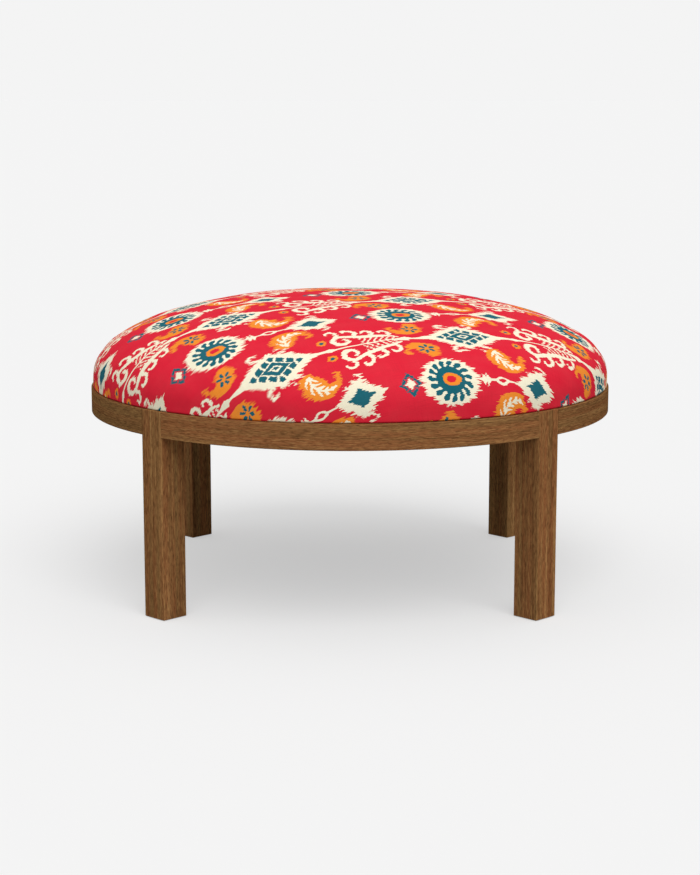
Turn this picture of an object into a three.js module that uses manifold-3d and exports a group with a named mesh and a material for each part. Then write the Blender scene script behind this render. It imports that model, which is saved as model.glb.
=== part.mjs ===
// A round upholstered tuffet. A domed seat, covered in printed fabric, stands on a wooden ring of four
// curved rails, which meet four square legs on the diagonals. Each leg runs up to the top of the ring.
// Millimetres, +Z up. The origin is on the floor under the middle of the seat, and the front is towards -Y.

import * as THREE from "three";
import { mergeVertices } from "three/addons/utils/BufferGeometryUtils.js";
import Module from "manifold-3d";

const wasm = await Module();
wasm.setup();

// Driving dimensions of the wooden frame
const ringDiameter = 812;
const ringTopHeight = 310;
const railHeight = 38;
const railThickness = 24;
const legSize = 43;
const edgeChamfer = 1; // takes the sharpness off the ring's edges

// Driving dimensions of the seat
const seatHeight = 450;
const seatSetback = 2.5; // from the ring's outer face to the foot of the cover
const uprightSide = 12; // the cover rises this much before it starts to curve in
const footRounding = 3;
const coverThickness = 1.2;
const waddingThickness = 6;
const deckThickness = 18;
const foamBaseShare = 0.5; // of the foam's height is the firm base, and the rest the soft crown
const ventRadius = 12;
const ventCircleRadius = 185;
const dustCoverThickness = 0.6;
const dustCoverInset = 23; // from the rail's inner face
const dustCoverLap = 15; // it hides the raw edge of the cover by this much

// The dome is a superellipse: a higher power fills out the shoulder
const shoulderPower = 2.29;
const crownPower = 2.23;

// Loose tenons that join each rail to a leg
const tenonLength = 36;
const tenonWidth = 22;
const tenonThickness = 8;

// Corner blocks, screwed to the rails and the leg, which carry the seat
const blockHeight = 28;
const blockDepth = 70; // from the rail's inner face to the block's free edge
const blockSpan = 176; // along the rails
const blockNoseWidth = 96; // of the free edge

// Pan-head wood screws
const screwRadius = 2.1;
const screwPointLength = 5;
const screwHeadRadius = 4.4;
const screwHeadHeight = 2.6;
const driveRadius = 1.7;
const driveDepth = 1.5;
const railScrewLength = 50;
const railScrewInset = 22; // from the end of the block
const railScrewCover = 8; // wood left in front of the point
const legScrewLength = 60;
const legScrewCover = 2.5; // wood left between the point and the tenons
const deckScrewLength = 38;
const deckScrewInset = 18; // from the edges of the block's nose
const deckScrewCover = 4; // plywood left above the point

// Nylon glides, nailed into a recess in the foot of each leg
const glideRadius = 11;
const glideThickness = 4;
const glideProud = 1;
const glideRounding = 1;
const nailRadius = 1.2;
const nailLength = 14;

// Clearances
const contactGap = 0.3; // between pieces that rest on each other or are glued
const cutOverrun = 5; // a cutter reaches this far past the face that it enters by

// Facets
const ringSegments = 96;
const seatSegments = 48;
const domeSteps = 9;
const footSteps = 2;
const holeSegments = 10;
const screwSegments = 8;
const glideSegments = 20;
const tenonArcSteps = 3;
const blockArcSteps = 3;
const legArcSteps = 1;

// Places that follow from the dimensions above
const quarter = Math.PI / 2;
const ringRadius = ringDiameter / 2;
const railInnerRadius = ringRadius - railThickness;
const railBottom = ringTopHeight - railHeight;
const railMiddle = ringTopHeight - railHeight / 2;
const legHalf = legSize / 2;
const legOuterCorner = Math.sqrt(ringRadius ** 2 - legHalf ** 2);
const legInnerFace = legOuterCorner - legSize;
const legAxis = legOuterCorner - legHalf;
const railEndOffset = legHalf + contactGap;
const tenonDistance = Math.sqrt((ringRadius - railThickness / 2) ** 2 - legHalf ** 2);
const slotDepth = tenonLength / 2 + contactGap;

const seatRadius = ringRadius - seatSetback;
const coverBottom = ringTopHeight + contactGap;
const deckBottom = coverBottom + coverThickness + contactGap;
const deckTop = deckBottom + deckThickness;
const domeFoot = ringTopHeight + uprightSide;
const domeRise = seatHeight - domeFoot;
const waddingInset = coverThickness + contactGap;
const foamInset = waddingInset + waddingThickness + contactGap;
const foamTop = seatHeight - foamInset;
const foamSplit = deckTop + contactGap + foamBaseShare * (foamTop - deckTop);
const dustCoverRadius = railInnerRadius - dustCoverInset;
const coverLipRadius = dustCoverRadius - dustCoverLap;
const dustCoverTop = coverBottom - contactGap;
const dustCoverBottom = dustCoverTop - dustCoverThickness;

const blockTop = dustCoverBottom - contactGap;
const blockBottom = blockTop - blockHeight;
const blockFreeEdge = railInnerRadius - blockDepth;
const blockOuterRadius = railInnerRadius - contactGap;
const railScrewTurn = Math.asin((blockSpan / 2 - railScrewInset) / railInnerRadius);
const railScrewSeat = ringRadius - railScrewCover - railScrewLength;
const tenonInnerFace = tenonDistance - tenonThickness / 2 - contactGap;
const legScrewSeat = tenonInnerFace - legScrewCover - legScrewLength;
const deckScrewPoint = deckTop - deckScrewCover;
const deckScrewSeat = deckScrewPoint - deckScrewLength;
const deckScrewPlaces = [-1, 1].map((side) => ({
  x: blockFreeEdge + deckScrewInset,
  y: side * (blockNoseWidth / 2 - deckScrewInset),
}));

const glideRecessDepth = glideThickness - glideProud + contactGap;

// The corners and rails, by the direction in which each lies from the middle of the seat
const corners = [
  { name: "front_left", angle: 2.5 * quarter },
  { name: "front_right", angle: 3.5 * quarter },
  { name: "back_right", angle: 0.5 * quarter },
  { name: "back_left", angle: 1.5 * quarter },
];
const rails = [
  { name: "front", angle: 3 * quarter },
  { name: "right", angle: 0 },
  { name: "back", angle: quarter },
  { name: "left", angle: 2 * quarter },
];

// Finishes
const finish = (color, roughness, metalness = 0) =>
  new THREE.MeshStandardMaterial({ color, roughness, metalness });
const walnut = finish(0x7a5230, 0.55);
const softwood = finish(0xc9a877, 0.75);
const beech = finish(0xd8b98c, 0.7);
const plywood = finish(0xc4a274, 0.8);
const foam = finish(0xe9dfae, 0.95);
const wadding = finish(0xf3f2ee, 1);
const printedFabric = finish(0xd42a3d, 0.9);
const dustCloth = finish(0x1d1d1f, 0.95);
const zincSteel = finish(0xb9b3a2, 0.4, 1);
const nylon = finish(0x2b2826, 0.5);

// A closed geometry as a solid that can be cut and joined
function solidOf(geometry) {
  const bare = geometry.clone();
  bare.deleteAttribute("normal");
  bare.deleteAttribute("uv");
  const merged = mergeVertices(bare);
  return new wasm.Manifold(
    new wasm.Mesh({
      numProp: 3,
      vertProperties: merged.getAttribute("position").array,
      triVerts: new Uint32Array(merged.index.array),
    }),
  );
}

// A solid as a geometry again, with flat faces
function geometryOf(solid) {
  const mesh = solid.getMesh();
  const geometry = new THREE.BufferGeometry();
  geometry.setAttribute("position", new THREE.BufferAttribute(mesh.vertProperties, mesh.numProp));
  geometry.setIndex(new THREE.BufferAttribute(mesh.triVerts, 1));
  const flat = geometry.toNonIndexed();
  flat.computeVertexNormals();
  return flat;
}

function cut(geometry, cutters) {
  return geometryOf(cutters.reduce((solid, cutter) => solid.subtract(solidOf(cutter)), solidOf(geometry)));
}

function named(name, geometry, material) {
  const mesh = new THREE.Mesh(geometry, material);
  mesh.name = name;
  return mesh;
}

// A profile of [radius, height] points turned about Z. Its outside is on the left going along the points
function turned(points, segments) {
  const profile = points.map(([radius, height]) => new THREE.Vector2(radius, height));
  return new THREE.LatheGeometry(profile, segments).rotateX(quarter);
}

// An upright cylinder that stands on the origin
function rod(radius, length, segments = holeSegments) {
  return new THREE.CylinderGeometry(radius, radius, length, segments)
    .rotateX(quarter)
    .translate(0, 0, length / 2);
}

// The same cylinder pointing along +X
const rodOutward = (radius, length) => rod(radius, length).rotateY(quarter);

function extruded(shape, height, arcSteps) {
  return new THREE.ExtrudeGeometry(shape, {
    depth: height,
    bevelEnabled: false,
    curveSegments: arcSteps,
  });
}

// The wooden frame. A corner's pieces lie in its own turned group, where +X points out along the leg

// A flat tenon with round ends, lying along Y across the joint, grown all round by the fit
function tenonShape(fit, length) {
  const endRadius = tenonThickness / 2 + fit;
  const centre = (tenonWidth - tenonThickness) / 2;
  const outline = new THREE.Shape();
  outline.absarc(0, centre, endRadius, 0, Math.PI, false);
  outline.absarc(0, -centre, endRadius, Math.PI, 4 * quarter, false);
  return extruded(outline, length, tenonArcSteps)
    .translate(0, 0, -length / 2)
    .rotateX(quarter);
}

function tenonAt(side, fit, length) {
  return tenonShape(fit, length).translate(tenonDistance, side * (legHalf + contactGap / 2), railMiddle);
}

const tenonSlot = (side) => tenonAt(side, contactGap, 2 * slotDepth + contactGap);

// Takes the ring's chamfer off the outer edge of a leg's top, so that it runs on from rail to rail
function topEdgeCutter() {
  const inner = ringRadius - edgeChamfer - cutOverrun;
  const outer = ringRadius + cutOverrun;
  const low = ringTopHeight - edgeChamfer - cutOverrun;
  const high = ringTopHeight + cutOverrun;
  return turned([[inner, high], [outer, low], [outer, high], [inner, high]], ringSegments);
}

// A leg follows the ring on its outer face and is square on the other three
function legGeometry() {
  const turn = Math.asin(legHalf / ringRadius);
  const outline = new THREE.Shape();
  outline.moveTo(legInnerFace, legHalf);
  outline.lineTo(legInnerFace, -legHalf);
  outline.absarc(0, 0, ringRadius, -turn, turn, false);
  outline.closePath();
  const post = extruded(outline, ringTopHeight - glideProud, legArcSteps).translate(0, 0, glideProud);
  const glideRecess = rod(glideRadius + contactGap, glideRecessDepth + cutOverrun, glideSegments)
    .translate(legAxis, 0, glideProud - cutOverrun);
  const nailHole = rod(nailRadius + contactGap, glideThickness + nailLength + contactGap)
    .translate(legAxis, 0, 0);
  const screwHole = rodOutward(screwRadius + contactGap, legScrewLength + contactGap)
    .translate(legScrewSeat, 0, railMiddle);
  return cut(post, [topEdgeCutter(), glideRecess, nailHole, screwHole, tenonSlot(1), tenonSlot(-1)]);
}

// A rail lies with its middle on +X. The ring's section, with its four edges chamfered, is turned and then
// cut off square against both legs
function railGeometry() {
  const c = edgeChamfer;
  const ring = turned(
    [
      [railInnerRadius + c, railBottom],
      [ringRadius - c, railBottom],
      [ringRadius, railBottom + c],
      [ringRadius, ringTopHeight - c],
      [ringRadius - c, ringTopHeight],
      [railInnerRadius + c, ringTopHeight],
      [railInnerRadius, ringTopHeight - c],
      [railInnerRadius, railBottom + c],
      [railInnerRadius + c, railBottom],
    ],
    ringSegments,
  );
  const reach = ringDiameter;
  const startGap = railEndOffset / Math.sin(quarter / 2);
  const sector = new THREE.Shape();
  sector.moveTo(startGap, 0);
  sector.lineTo(startGap + reach, -reach);
  sector.lineTo(startGap + reach, reach);
  sector.closePath();
  const wedge = extruded(sector, railHeight + 2 * cutOverrun, 1).translate(0, 0, railBottom - cutOverrun);
  const blank = geometryOf(solidOf(ring).intersect(solidOf(wedge)));
  const cutters = [-1, 1].flatMap((side) => {
    const toLeg = (side * quarter) / 2;
    return [
      tenonSlot(-side).rotateZ(toLeg),
      rodOutward(screwRadius + contactGap, railScrewLength + contactGap)
        .translate(railScrewSeat, 0, railMiddle)
        .rotateZ(toLeg - side * railScrewTurn),
    ];
  });
  return cut(blank, cutters);
}

// A corner block fits round the leg and against both rails, and tapers to its free edge
function blockGeometry() {
  const notch = legHalf + contactGap;
  const notchTurn = Math.asin(notch / blockOuterRadius);
  const endTurn = Math.asin(blockSpan / 2 / blockOuterRadius);
  const outline = new THREE.Shape();
  outline.moveTo(blockFreeEdge, blockNoseWidth / 2);
  outline.lineTo(blockFreeEdge, -blockNoseWidth / 2);
  outline.absarc(0, 0, blockOuterRadius, -endTurn, -notchTurn, false);
  outline.lineTo(legInnerFace - contactGap, -notch);
  outline.lineTo(legInnerFace - contactGap, notch);
  outline.absarc(0, 0, blockOuterRadius, notchTurn, endTurn, false);
  outline.closePath();
  const block = extruded(outline, blockHeight, blockArcSteps).translate(0, 0, blockBottom);
  const throughHole = screwRadius + contactGap;
  const headHole = screwHeadRadius + contactGap;
  const deckHoles = deckScrewPlaces.flatMap(({ x, y }) => [
    rod(throughHole, blockHeight + 2 * cutOverrun).translate(x, y, blockBottom - cutOverrun),
    rod(headHole, deckScrewSeat - contactGap - blockBottom + cutOverrun)
      .translate(x, y, blockBottom - cutOverrun),
  ]);
  const sideHoles = [-railScrewTurn, 0, railScrewTurn].flatMap((turn) => {
    const seat = (turn ? railScrewSeat : legScrewSeat) - contactGap;
    return [
      rodOutward(throughHole, blockDepth + cutOverrun).translate(seat, 0, railMiddle).rotateZ(turn),
      rodOutward(headHole, blockDepth).translate(seat - blockDepth, 0, railMiddle).rotateZ(turn),
    ];
  });
  return cut(block, [...deckHoles, ...sideHoles]);
}

// A screw points along +Z with the underside of its head at the origin
function screwGeometry(length) {
  return turned(
    [
      [0, driveDepth - screwHeadHeight],
      [driveRadius, driveDepth - screwHeadHeight],
      [driveRadius, -screwHeadHeight],
      [screwHeadRadius - driveRadius / 2, -screwHeadHeight],
      [screwHeadRadius, -screwHeadHeight / 2],
      [screwHeadRadius, -contactGap],
      [screwRadius, -contactGap],
      [screwRadius, length - screwPointLength],
      [0, length],
    ],
    screwSegments,
  );
}

function glideGeometry() {
  return turned(
    [
      [0, 0],
      [glideRadius - glideRounding, 0],
      [glideRadius, glideRounding],
      [glideRadius, glideThickness],
      [nailRadius, glideThickness],
      [nailRadius, glideThickness + nailLength - nailRadius],
      [0, glideThickness + nailLength],
    ],
    glideSegments,
  ).translate(legAxis, 0, 0);
}

// The seat, from the deck up

// The dome's outside from its foot to the crown, moved inwards by an inset square to the surface
function dome(inset) {
  const points = [];
  for (let step = 0; step <= domeSteps; step++) {
    const turn = quarter * (1 - step / domeSteps);
    const across = Math.sin(turn) ** (2 / shoulderPower);
    const up = Math.max(Math.cos(turn), 0) ** (2 / crownPower);
    const atFoot = step === 0;
    const atCrown = step === domeSteps;
    const slopeOut = atCrown ? 0 : across ** (shoulderPower - 1) / seatRadius;
    const slopeUp = atFoot ? 0 : up ** (crownPower - 1) / domeRise;
    const scale = inset / Math.hypot(slopeOut, slopeUp);
    points.push([
      atCrown ? 0 : seatRadius * across - slopeOut * scale,
      domeFoot + (atFoot ? 0 : domeRise * up) - slopeUp * scale,
    ]);
  }
  return points;
}

// The stretch of the same side and dome between two heights. Without a top it runs up to the crown
function domeBand(inset, bottom, top = Infinity) {
  const line = [[seatRadius - inset, ringTopHeight], ...dome(inset)];
  const cutAt = (height) => {
    const next = line.findIndex(([, z]) => z > height);
    const [lower, upper] = [line[next - 1], line[next]];
    const share = (height - lower[1]) / (upper[1] - lower[1]);
    return [lower[0] + share * (upper[0] - lower[0]), height];
  };
  const between = line.filter(([, z]) => z > bottom && z < top);
  return [cutAt(bottom), ...between, ...(Number.isFinite(top) ? [cutAt(top)] : [])];
}

// The rounded corner where an upright side at a radius meets a level bottom, going up
function footCorner(radius, bottom, rounding) {
  const points = [];
  for (let step = 0; step <= footSteps; step++) {
    const turn = (quarter * step) / footSteps;
    points.push([
      radius - rounding * (1 - Math.sin(turn)),
      bottom + rounding * (1 - Math.cos(turn)),
    ]);
  }
  return points;
}

// The cover goes over the dome and down its side, and is folded under the deck
function coverGeometry() {
  const inside = dome(coverThickness).reverse();
  const insideCorner = footCorner(
    seatRadius - coverThickness,
    coverBottom + coverThickness,
    footRounding - coverThickness,
  ).reverse();
  return turned(
    [
      [coverLipRadius, coverBottom],
      ...footCorner(seatRadius, coverBottom, footRounding),
      ...dome(0),
      ...inside,
      ...insideCorner,
      [coverLipRadius, coverBottom + coverThickness],
      [coverLipRadius, coverBottom],
    ],
    seatSegments,
  );
}

// The wadding wraps the foam and the edge of the deck
function waddingGeometry() {
  const outerFoot = seatRadius - waddingInset;
  const innerFoot = outerFoot - waddingThickness;
  return turned(
    [
      [innerFoot, deckBottom],
      ...footCorner(outerFoot, deckBottom, footRounding),
      ...dome(waddingInset),
      ...dome(waddingInset + waddingThickness).reverse(),
      [innerFoot, deckBottom],
    ],
    seatSegments,
  );
}

function foamBaseGeometry() {
  const bottom = deckTop + contactGap;
  return turned([[0, bottom], ...domeBand(foamInset, bottom, foamSplit), [0, foamSplit]], seatSegments);
}

function foamCrownGeometry() {
  const bottom = foamSplit + contactGap;
  return turned([[0, bottom], ...domeBand(foamInset, bottom)], seatSegments);
}

// Clearance holes for the screws that come up through the corner blocks
function deckScrewHoles(bottom, top) {
  return corners.flatMap(({ angle }) =>
    deckScrewPlaces.map(({ x, y }) =>
      rod(screwRadius + contactGap, top - bottom).translate(x, y, bottom).rotateZ(angle),
    ),
  );
}

const discGeometry = (radius, bottom, top) =>
  turned([[0, bottom], [radius, bottom], [radius, top], [0, top]], seatSegments);

function deckGeometry() {
  const [[radius]] = domeBand(foamInset, deckTop);
  const from = deckBottom - cutOverrun;
  const vent = () => rod(ventRadius, deckTop + cutOverrun - from, glideSegments).translate(0, 0, from);
  const outerVents = corners.map(({ angle }) => vent().translate(ventCircleRadius, 0, 0).rotateZ(angle));
  return cut(discGeometry(radius, deckBottom, deckTop), [
    vent(),
    ...outerVents,
    ...deckScrewHoles(from, deckScrewPoint + contactGap),
  ]);
}

function dustCoverGeometry() {
  const disc = discGeometry(dustCoverRadius, dustCoverBottom, dustCoverTop);
  return cut(disc, deckScrewHoles(dustCoverBottom - cutOverrun, dustCoverTop + cutOverrun));
}

// The assembly

const leg = legGeometry();
const block = blockGeometry();
const glide = glideGeometry();
const railScrew = screwGeometry(railScrewLength);
const legScrew = screwGeometry(legScrewLength);
const deckScrew = screwGeometry(deckScrewLength);

// A screw in a corner's own frame, pointing outward at a turn from the leg's middle
function outwardScrew(name, geometry, seat, turn) {
  const mesh = named(name, geometry, zincSteel);
  mesh.rotation.set(0, quarter, turn, "ZYX");
  mesh.position.set(seat * Math.cos(turn), seat * Math.sin(turn), railMiddle);
  return mesh;
}

function cornerGroup({ name, angle }) {
  const group = new THREE.Group();
  group.rotation.z = angle;
  group.add(named(`leg_${name}`, leg, walnut));
  group.add(named(`corner_block_${name}`, block, softwood));
  group.add(named(`glide_${name}`, glide, nylon));
  group.add(outwardScrew(`leg_screw_${name}`, legScrew, legScrewSeat, 0));
  [-1, 1].forEach((side, index) => {
    group.add(named(`tenon_${name}_${index + 1}`, tenonAt(side, 0, tenonLength), beech));
    const turn = side * railScrewTurn;
    group.add(outwardScrew(`rail_screw_${name}_${index + 1}`, railScrew, railScrewSeat, turn));
    const upright = named(`deck_screw_${name}_${index + 1}`, deckScrew, zincSteel);
    upright.position.set(deckScrewPlaces[index].x, deckScrewPlaces[index].y, deckScrewSeat);
    group.add(upright);
  });
  return group;
}

const tuffet = new THREE.Group();
corners.forEach((corner) => tuffet.add(cornerGroup(corner)));

const rail = railGeometry();
rails.forEach(({ name, angle }) => {
  const mesh = named(`rail_${name}`, rail, walnut);
  mesh.rotation.z = angle;
  tuffet.add(mesh);
});

tuffet.add(named("seat_deck", deckGeometry(), plywood));
tuffet.add(named("foam_base", foamBaseGeometry(), foam));
tuffet.add(named("foam_crown", foamCrownGeometry(), foam));
tuffet.add(named("wadding_wrap", waddingGeometry(), wadding));
tuffet.add(named("seat_cover", coverGeometry(), printedFabric));
tuffet.add(named("dust_cover", dustCoverGeometry(), dustCloth));

export default tuffet;
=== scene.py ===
# A round upholstered tuffet. A domed seat, covered in printed fabric, stands on a wooden ring of four
# curved rails, which meet four square legs on the diagonals. Metres, +Z up, and the front is towards -Y.

from math import asin, atan2, cos, degrees, pi, radians, sin, sqrt, tau

import bmesh
import bpy
import numpy as np
from mathutils import Matrix, Vector


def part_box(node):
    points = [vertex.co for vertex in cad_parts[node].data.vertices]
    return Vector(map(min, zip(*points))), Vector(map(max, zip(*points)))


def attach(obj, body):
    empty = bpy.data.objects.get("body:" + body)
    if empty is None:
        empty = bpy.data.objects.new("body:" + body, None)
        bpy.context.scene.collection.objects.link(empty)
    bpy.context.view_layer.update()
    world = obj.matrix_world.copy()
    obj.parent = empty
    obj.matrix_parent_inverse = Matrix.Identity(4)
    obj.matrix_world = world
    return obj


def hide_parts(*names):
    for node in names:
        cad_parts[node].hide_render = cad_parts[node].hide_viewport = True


bl_info = {
    "name": "Upholstered tuffet",
    "version": (1, 0, 0),
    "blender": (4, 5, 0),
    "location": "3D View > Sidebar > Tuffet",
    "description": "Builds a round tuffet with a printed seat on a wooden ring and four legs",
    "category": "Object",
}

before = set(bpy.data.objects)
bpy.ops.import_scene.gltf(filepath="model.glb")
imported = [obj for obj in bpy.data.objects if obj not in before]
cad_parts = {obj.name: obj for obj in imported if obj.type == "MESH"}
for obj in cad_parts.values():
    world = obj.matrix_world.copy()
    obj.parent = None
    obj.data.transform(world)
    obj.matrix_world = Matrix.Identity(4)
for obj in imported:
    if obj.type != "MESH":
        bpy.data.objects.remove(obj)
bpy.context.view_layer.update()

MM = 0.001

# Directions of the corners and of the rails' middles, seen from the middle of the seat
CORNERS = {
    "front_left": radians(225),
    "front_right": radians(315),
    "back_right": radians(45),
    "back_left": radians(135),
}
RAILS = {"front": radians(270), "right": 0.0, "back": radians(90), "left": radians(180)}


# Sizes and colours that a user would change


def linear(red, green, blue):
    """A colour given as it looks on a screen, from 0 to 255, in Blender's own numbers."""
    shares = (channel / 255 for channel in (red, green, blue))
    return tuple(s / 12.92 if s <= 0.04045 else ((s + 0.055) / 1.055) ** 2.4 for s in shares)


def length_of(name, description, default):
    return bpy.props.FloatProperty(
        name=name,
        description=description,
        default=default,
        min=0.0,
        subtype="DISTANCE",
        unit="LENGTH",
        precision=4,
    )


def colour_of(name, description, default):
    return bpy.props.FloatVectorProperty(
        name=name,
        description=description,
        default=default,
        size=3,
        min=0.0,
        max=1.0,
        subtype="COLOR",
    )


rail_low, rail_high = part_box("rail_front")
cover_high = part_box("seat_cover")[1]
block_low, block_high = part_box("corner_block_front_left")
deck_low, deck_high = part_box("seat_deck")


class TuffetFrameSizes(bpy.types.PropertyGroup):
    ring_radius: length_of("Ring radius", "From the middle of the seat to the ring's outer face", -rail_low.y)
    ring_top: length_of("Ring top", "Height of the top of the wooden ring", rail_high.z)
    ring_bottom: length_of("Ring bottom", "Height of the underside of the wooden ring", rail_low.z)
    rail_thickness: length_of("Rail thickness", "Thickness of the curved rails", 24 * MM)
    leg_side: length_of("Leg side", "Side of the square legs", 43 * MM)
    leg_bottom: length_of("Leg bottom", "Gap that the glides leave under the legs", 1 * MM)
    edge_rounding: length_of("Edge rounding", "Rounding of the legs' edges", 0.8 * MM)
    block_top: length_of("Block top", "Height of the top of the corner blocks", block_high.z)
    block_bottom: length_of("Block bottom", "Height of the underside of the corner blocks", block_low.z)
    contact_gap: length_of("Contact gap", "Clearance between pieces that rest on each other", 0.3 * MM)


class TuffetSeatSizes(bpy.types.PropertyGroup):
    seat_radius: length_of("Seat radius", "Radius of the covered seat at its foot", cover_high.x)
    seat_top: length_of("Seat top", "Height of the seat's crown", cover_high.z)
    upright_side: length_of("Upright side", "Height of the side before it curves in", 12 * MM)
    foot_rounding: length_of("Foot rounding", "Rounding where the cover is folded under", 3 * MM)
    cover_thickness: length_of("Cover thickness", "Thickness of the printed fabric", 1.2 * MM)
    wadding_thickness: length_of("Wadding thickness", "Thickness of the wadding", 6 * MM)
    deck_bottom: length_of("Deck bottom", "Height of the plywood's underside", deck_low.z)
    deck_top: length_of("Deck top", "Height of the plywood's top", deck_high.z)
    dust_cover_radius: length_of("Dust cover radius", "Radius of the cloth under the seat", 359 * MM)
    repeat_along: length_of("Repeat along", "Length of one repeat of the print", 292 * MM)
    repeat_across: length_of("Repeat across", "Width of one repeat of the print", 202 * MM)
    print_turn: bpy.props.FloatProperty(
        name="Print turn",
        description="Turn of the print from the front edge of the seat",
        default=radians(21.4),
        subtype="ANGLE",
    )


class TuffetColours(bpy.types.PropertyGroup):
    ground: colour_of("Ground", "Red ground of the print", linear(226, 34, 57))
    cream: colour_of("Cream", "Cream of the large figures", linear(252, 244, 216))
    orange: colour_of("Orange", "Orange of the botehs", linear(248, 146, 47))
    teal: colour_of("Teal", "Teal of the figures' hearts", linear(19, 100, 114))
    walnut_dark: colour_of("Walnut, dark", "Dark streaks of the frame's wood", linear(108, 71, 41))
    walnut: colour_of("Walnut", "Main colour of the frame's wood", linear(153, 105, 64))
    walnut_light: colour_of("Walnut, light", "Light streaks of the frame's wood", linear(190, 144, 91))
    softwood: colour_of("Softwood", "Colour of the corner blocks", linear(203, 170, 122))
    floor: colour_of("Floor", "Colour of the floor and the background", linear(244, 244, 244))


# Meshes


def new_piece(name, mesh):
    piece = bpy.data.objects.new(name, mesh)
    bpy.context.scene.collection.objects.link(piece)
    return piece


def mesh_of(name, points, faces):
    mesh = bpy.data.meshes.new(name)
    mesh.from_pydata([tuple(p) for p in points], [], faces)
    return mesh


def band(lower, upper):
    """Faces between two rings of points, given by their numbers, anticlockwise seen from above."""
    faces = []
    for step in range(len(lower)):
        beside = (step + 1) % len(lower)
        faces.append((lower[step], lower[beside], upper[beside], upper[step]))
    return faces


def skinned(name, rings, ends="capped"):
    """A mesh over rings of points that all have the same number of them, anticlockwise seen from above
    and from the lowest ring up. Its ends are capped, or joined to each other."""
    count = len(rings[0])
    points = [point for ring in rings for point in ring]
    numbers = [range(first, first + count) for first in range(0, len(points), count)]
    faces = []
    for lower, upper in zip(numbers, numbers[1:]):
        faces += band(lower, upper)
    if ends == "joined":
        faces += band(numbers[-1], numbers[0])
    else:
        faces += [tuple(reversed(numbers[0])), tuple(numbers[-1])]
    return mesh_of(name, points, faces)


def turned(name, line, segments, ends="capped"):
    """A mesh made by turning a line of (radius, height) points about Z, lowest point first on the outside."""
    turns = np.linspace(0, tau, segments, endpoint=False)
    return skinned(name, [polar(radius, turns, height) for radius, height in line], ends)


def prism(name, outline, bottom, top):
    """An upright mesh over an outline of (x, y) points, anticlockwise seen from above."""
    return skinned(name, [[(x, y, height) for x, y in outline] for height in (bottom, top)])


def rod(radius, bottom, top, segments=24):
    return turned("rod", [(radius, bottom), (radius, top)], segments)


def rounded(start, end, steps):
    """Directions, in radians, from a start to an end that are given in degrees."""
    return [radians(start + (end - start) * step / steps) for step in range(steps + 1)]


def polar(radius, turn, height):
    """Points at a radius, at a turn about Z and at a height, each one number or many."""
    radius, turn, height = np.broadcast_arrays(radius, turn, height)
    return np.stack([radius * np.cos(turn), radius * np.sin(turn), height], axis=1)


def moved(mesh, *steps):
    """The mesh after the given matrices, the first one first."""
    for step in steps:
        mesh.transform(step)
    return mesh


def turn_z(angle):
    return Matrix.Rotation(angle, 4, "Z")


OUTWARD = Matrix.Rotation(pi / 2, 4, "Y")


def apply_modifiers(piece):
    graph = bpy.context.evaluated_depsgraph_get()
    made = bpy.data.meshes.new_from_object(piece.evaluated_get(graph))
    made.name = piece.data.name
    piece.modifiers.clear()
    piece.data = made


def cut(piece, cutters):
    """Takes the cutters' meshes out of the piece."""
    tools = [new_piece("cutter", mesh) for mesh in cutters]
    for tool in tools:
        modifier = piece.modifiers.new("cut", "BOOLEAN")
        modifier.object = tool
        modifier.solver = "EXACT"
    apply_modifiers(piece)
    for tool in tools:
        bpy.data.objects.remove(tool)


def finished_mesh(piece, sharp_from=40):
    """Gives the piece smooth shading with clean flat faces, and creases at edges sharper than that
    many degrees. Returns its mesh. The piece itself, which only served to shape it, goes."""
    piece.data.shade_smooth()
    piece.data.set_sharp_from_angle(angle=radians(sharp_from))
    modifier = piece.modifiers.new("normals", "WEIGHTED_NORMAL")
    modifier.keep_sharp = True
    apply_modifiers(piece)
    mesh = piece.data
    bpy.data.objects.remove(piece)
    return mesh


def points_of(mesh):
    places = np.empty(len(mesh.vertices) * 3)
    mesh.vertices.foreach_get("co", places)
    return places.reshape(-1, 3)


def give_vectors(mesh, name, vectors):
    """Writes a vector at every point of the mesh, for its material to read."""
    layer = mesh.attributes.new(name, "FLOAT_VECTOR", "POINT")
    layer.data.foreach_set("vector", np.ascontiguousarray(vectors, np.float32).ravel())


def give_numbers(mesh, name, numbers):
    """Writes a number at every point of the mesh, for its material to read."""
    layer = mesh.attributes.new(name, "FLOAT", "POINT")
    layer.data.foreach_set("value", np.ascontiguousarray(numbers, np.float32))


def finish_piece(piece, material, replaced=()):
    """Gives a new piece its material and its place in the frame."""
    piece.data.materials.clear()
    piece.data.materials.append(material)
    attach(piece, "root")
    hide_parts(*replaced)


def dress_node(name, material):
    """Gives a CAD node that stays its better material."""
    node_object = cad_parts[name]
    for slot in node_object.material_slots:
        slot.link = "OBJECT"
        slot.material = material


# Shader nodes


def node(tree, kind, inputs=None, **settings):
    """A new shader node. Each input, given by its name or number, is set to a value, or linked to
    another node's output."""
    made = tree.nodes.new("ShaderNode" + kind)
    for name, value in settings.items():
        setattr(made, name, value)
    for name, value in (inputs or {}).items():
        if isinstance(value, bpy.types.NodeSocket):
            tree.links.new(value, made.inputs[name])
        else:
            made.inputs[name].default_value = value
    return made


def new_material(name):
    material = bpy.data.materials.new(name)
    material.use_nodes = True
    material.node_tree.nodes.clear()
    return material, material.node_tree


def with_surface(tree, **inputs):
    """Ends a material in a Principled surface, with its inputs given by name."""
    named = {name.replace("_", " "): value for name, value in inputs.items()}
    surface = node(tree, "BsdfPrincipled", named)
    node(tree, "OutputMaterial", {"Surface": surface.outputs["BSDF"]})


def rgba(colour):
    return (*colour[:3], 1.0)


def shade_of(colour, share):
    """The colour, darker or lighter by a share."""
    return tuple(min(channel * share, 1.0) for channel in colour[:3])


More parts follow.
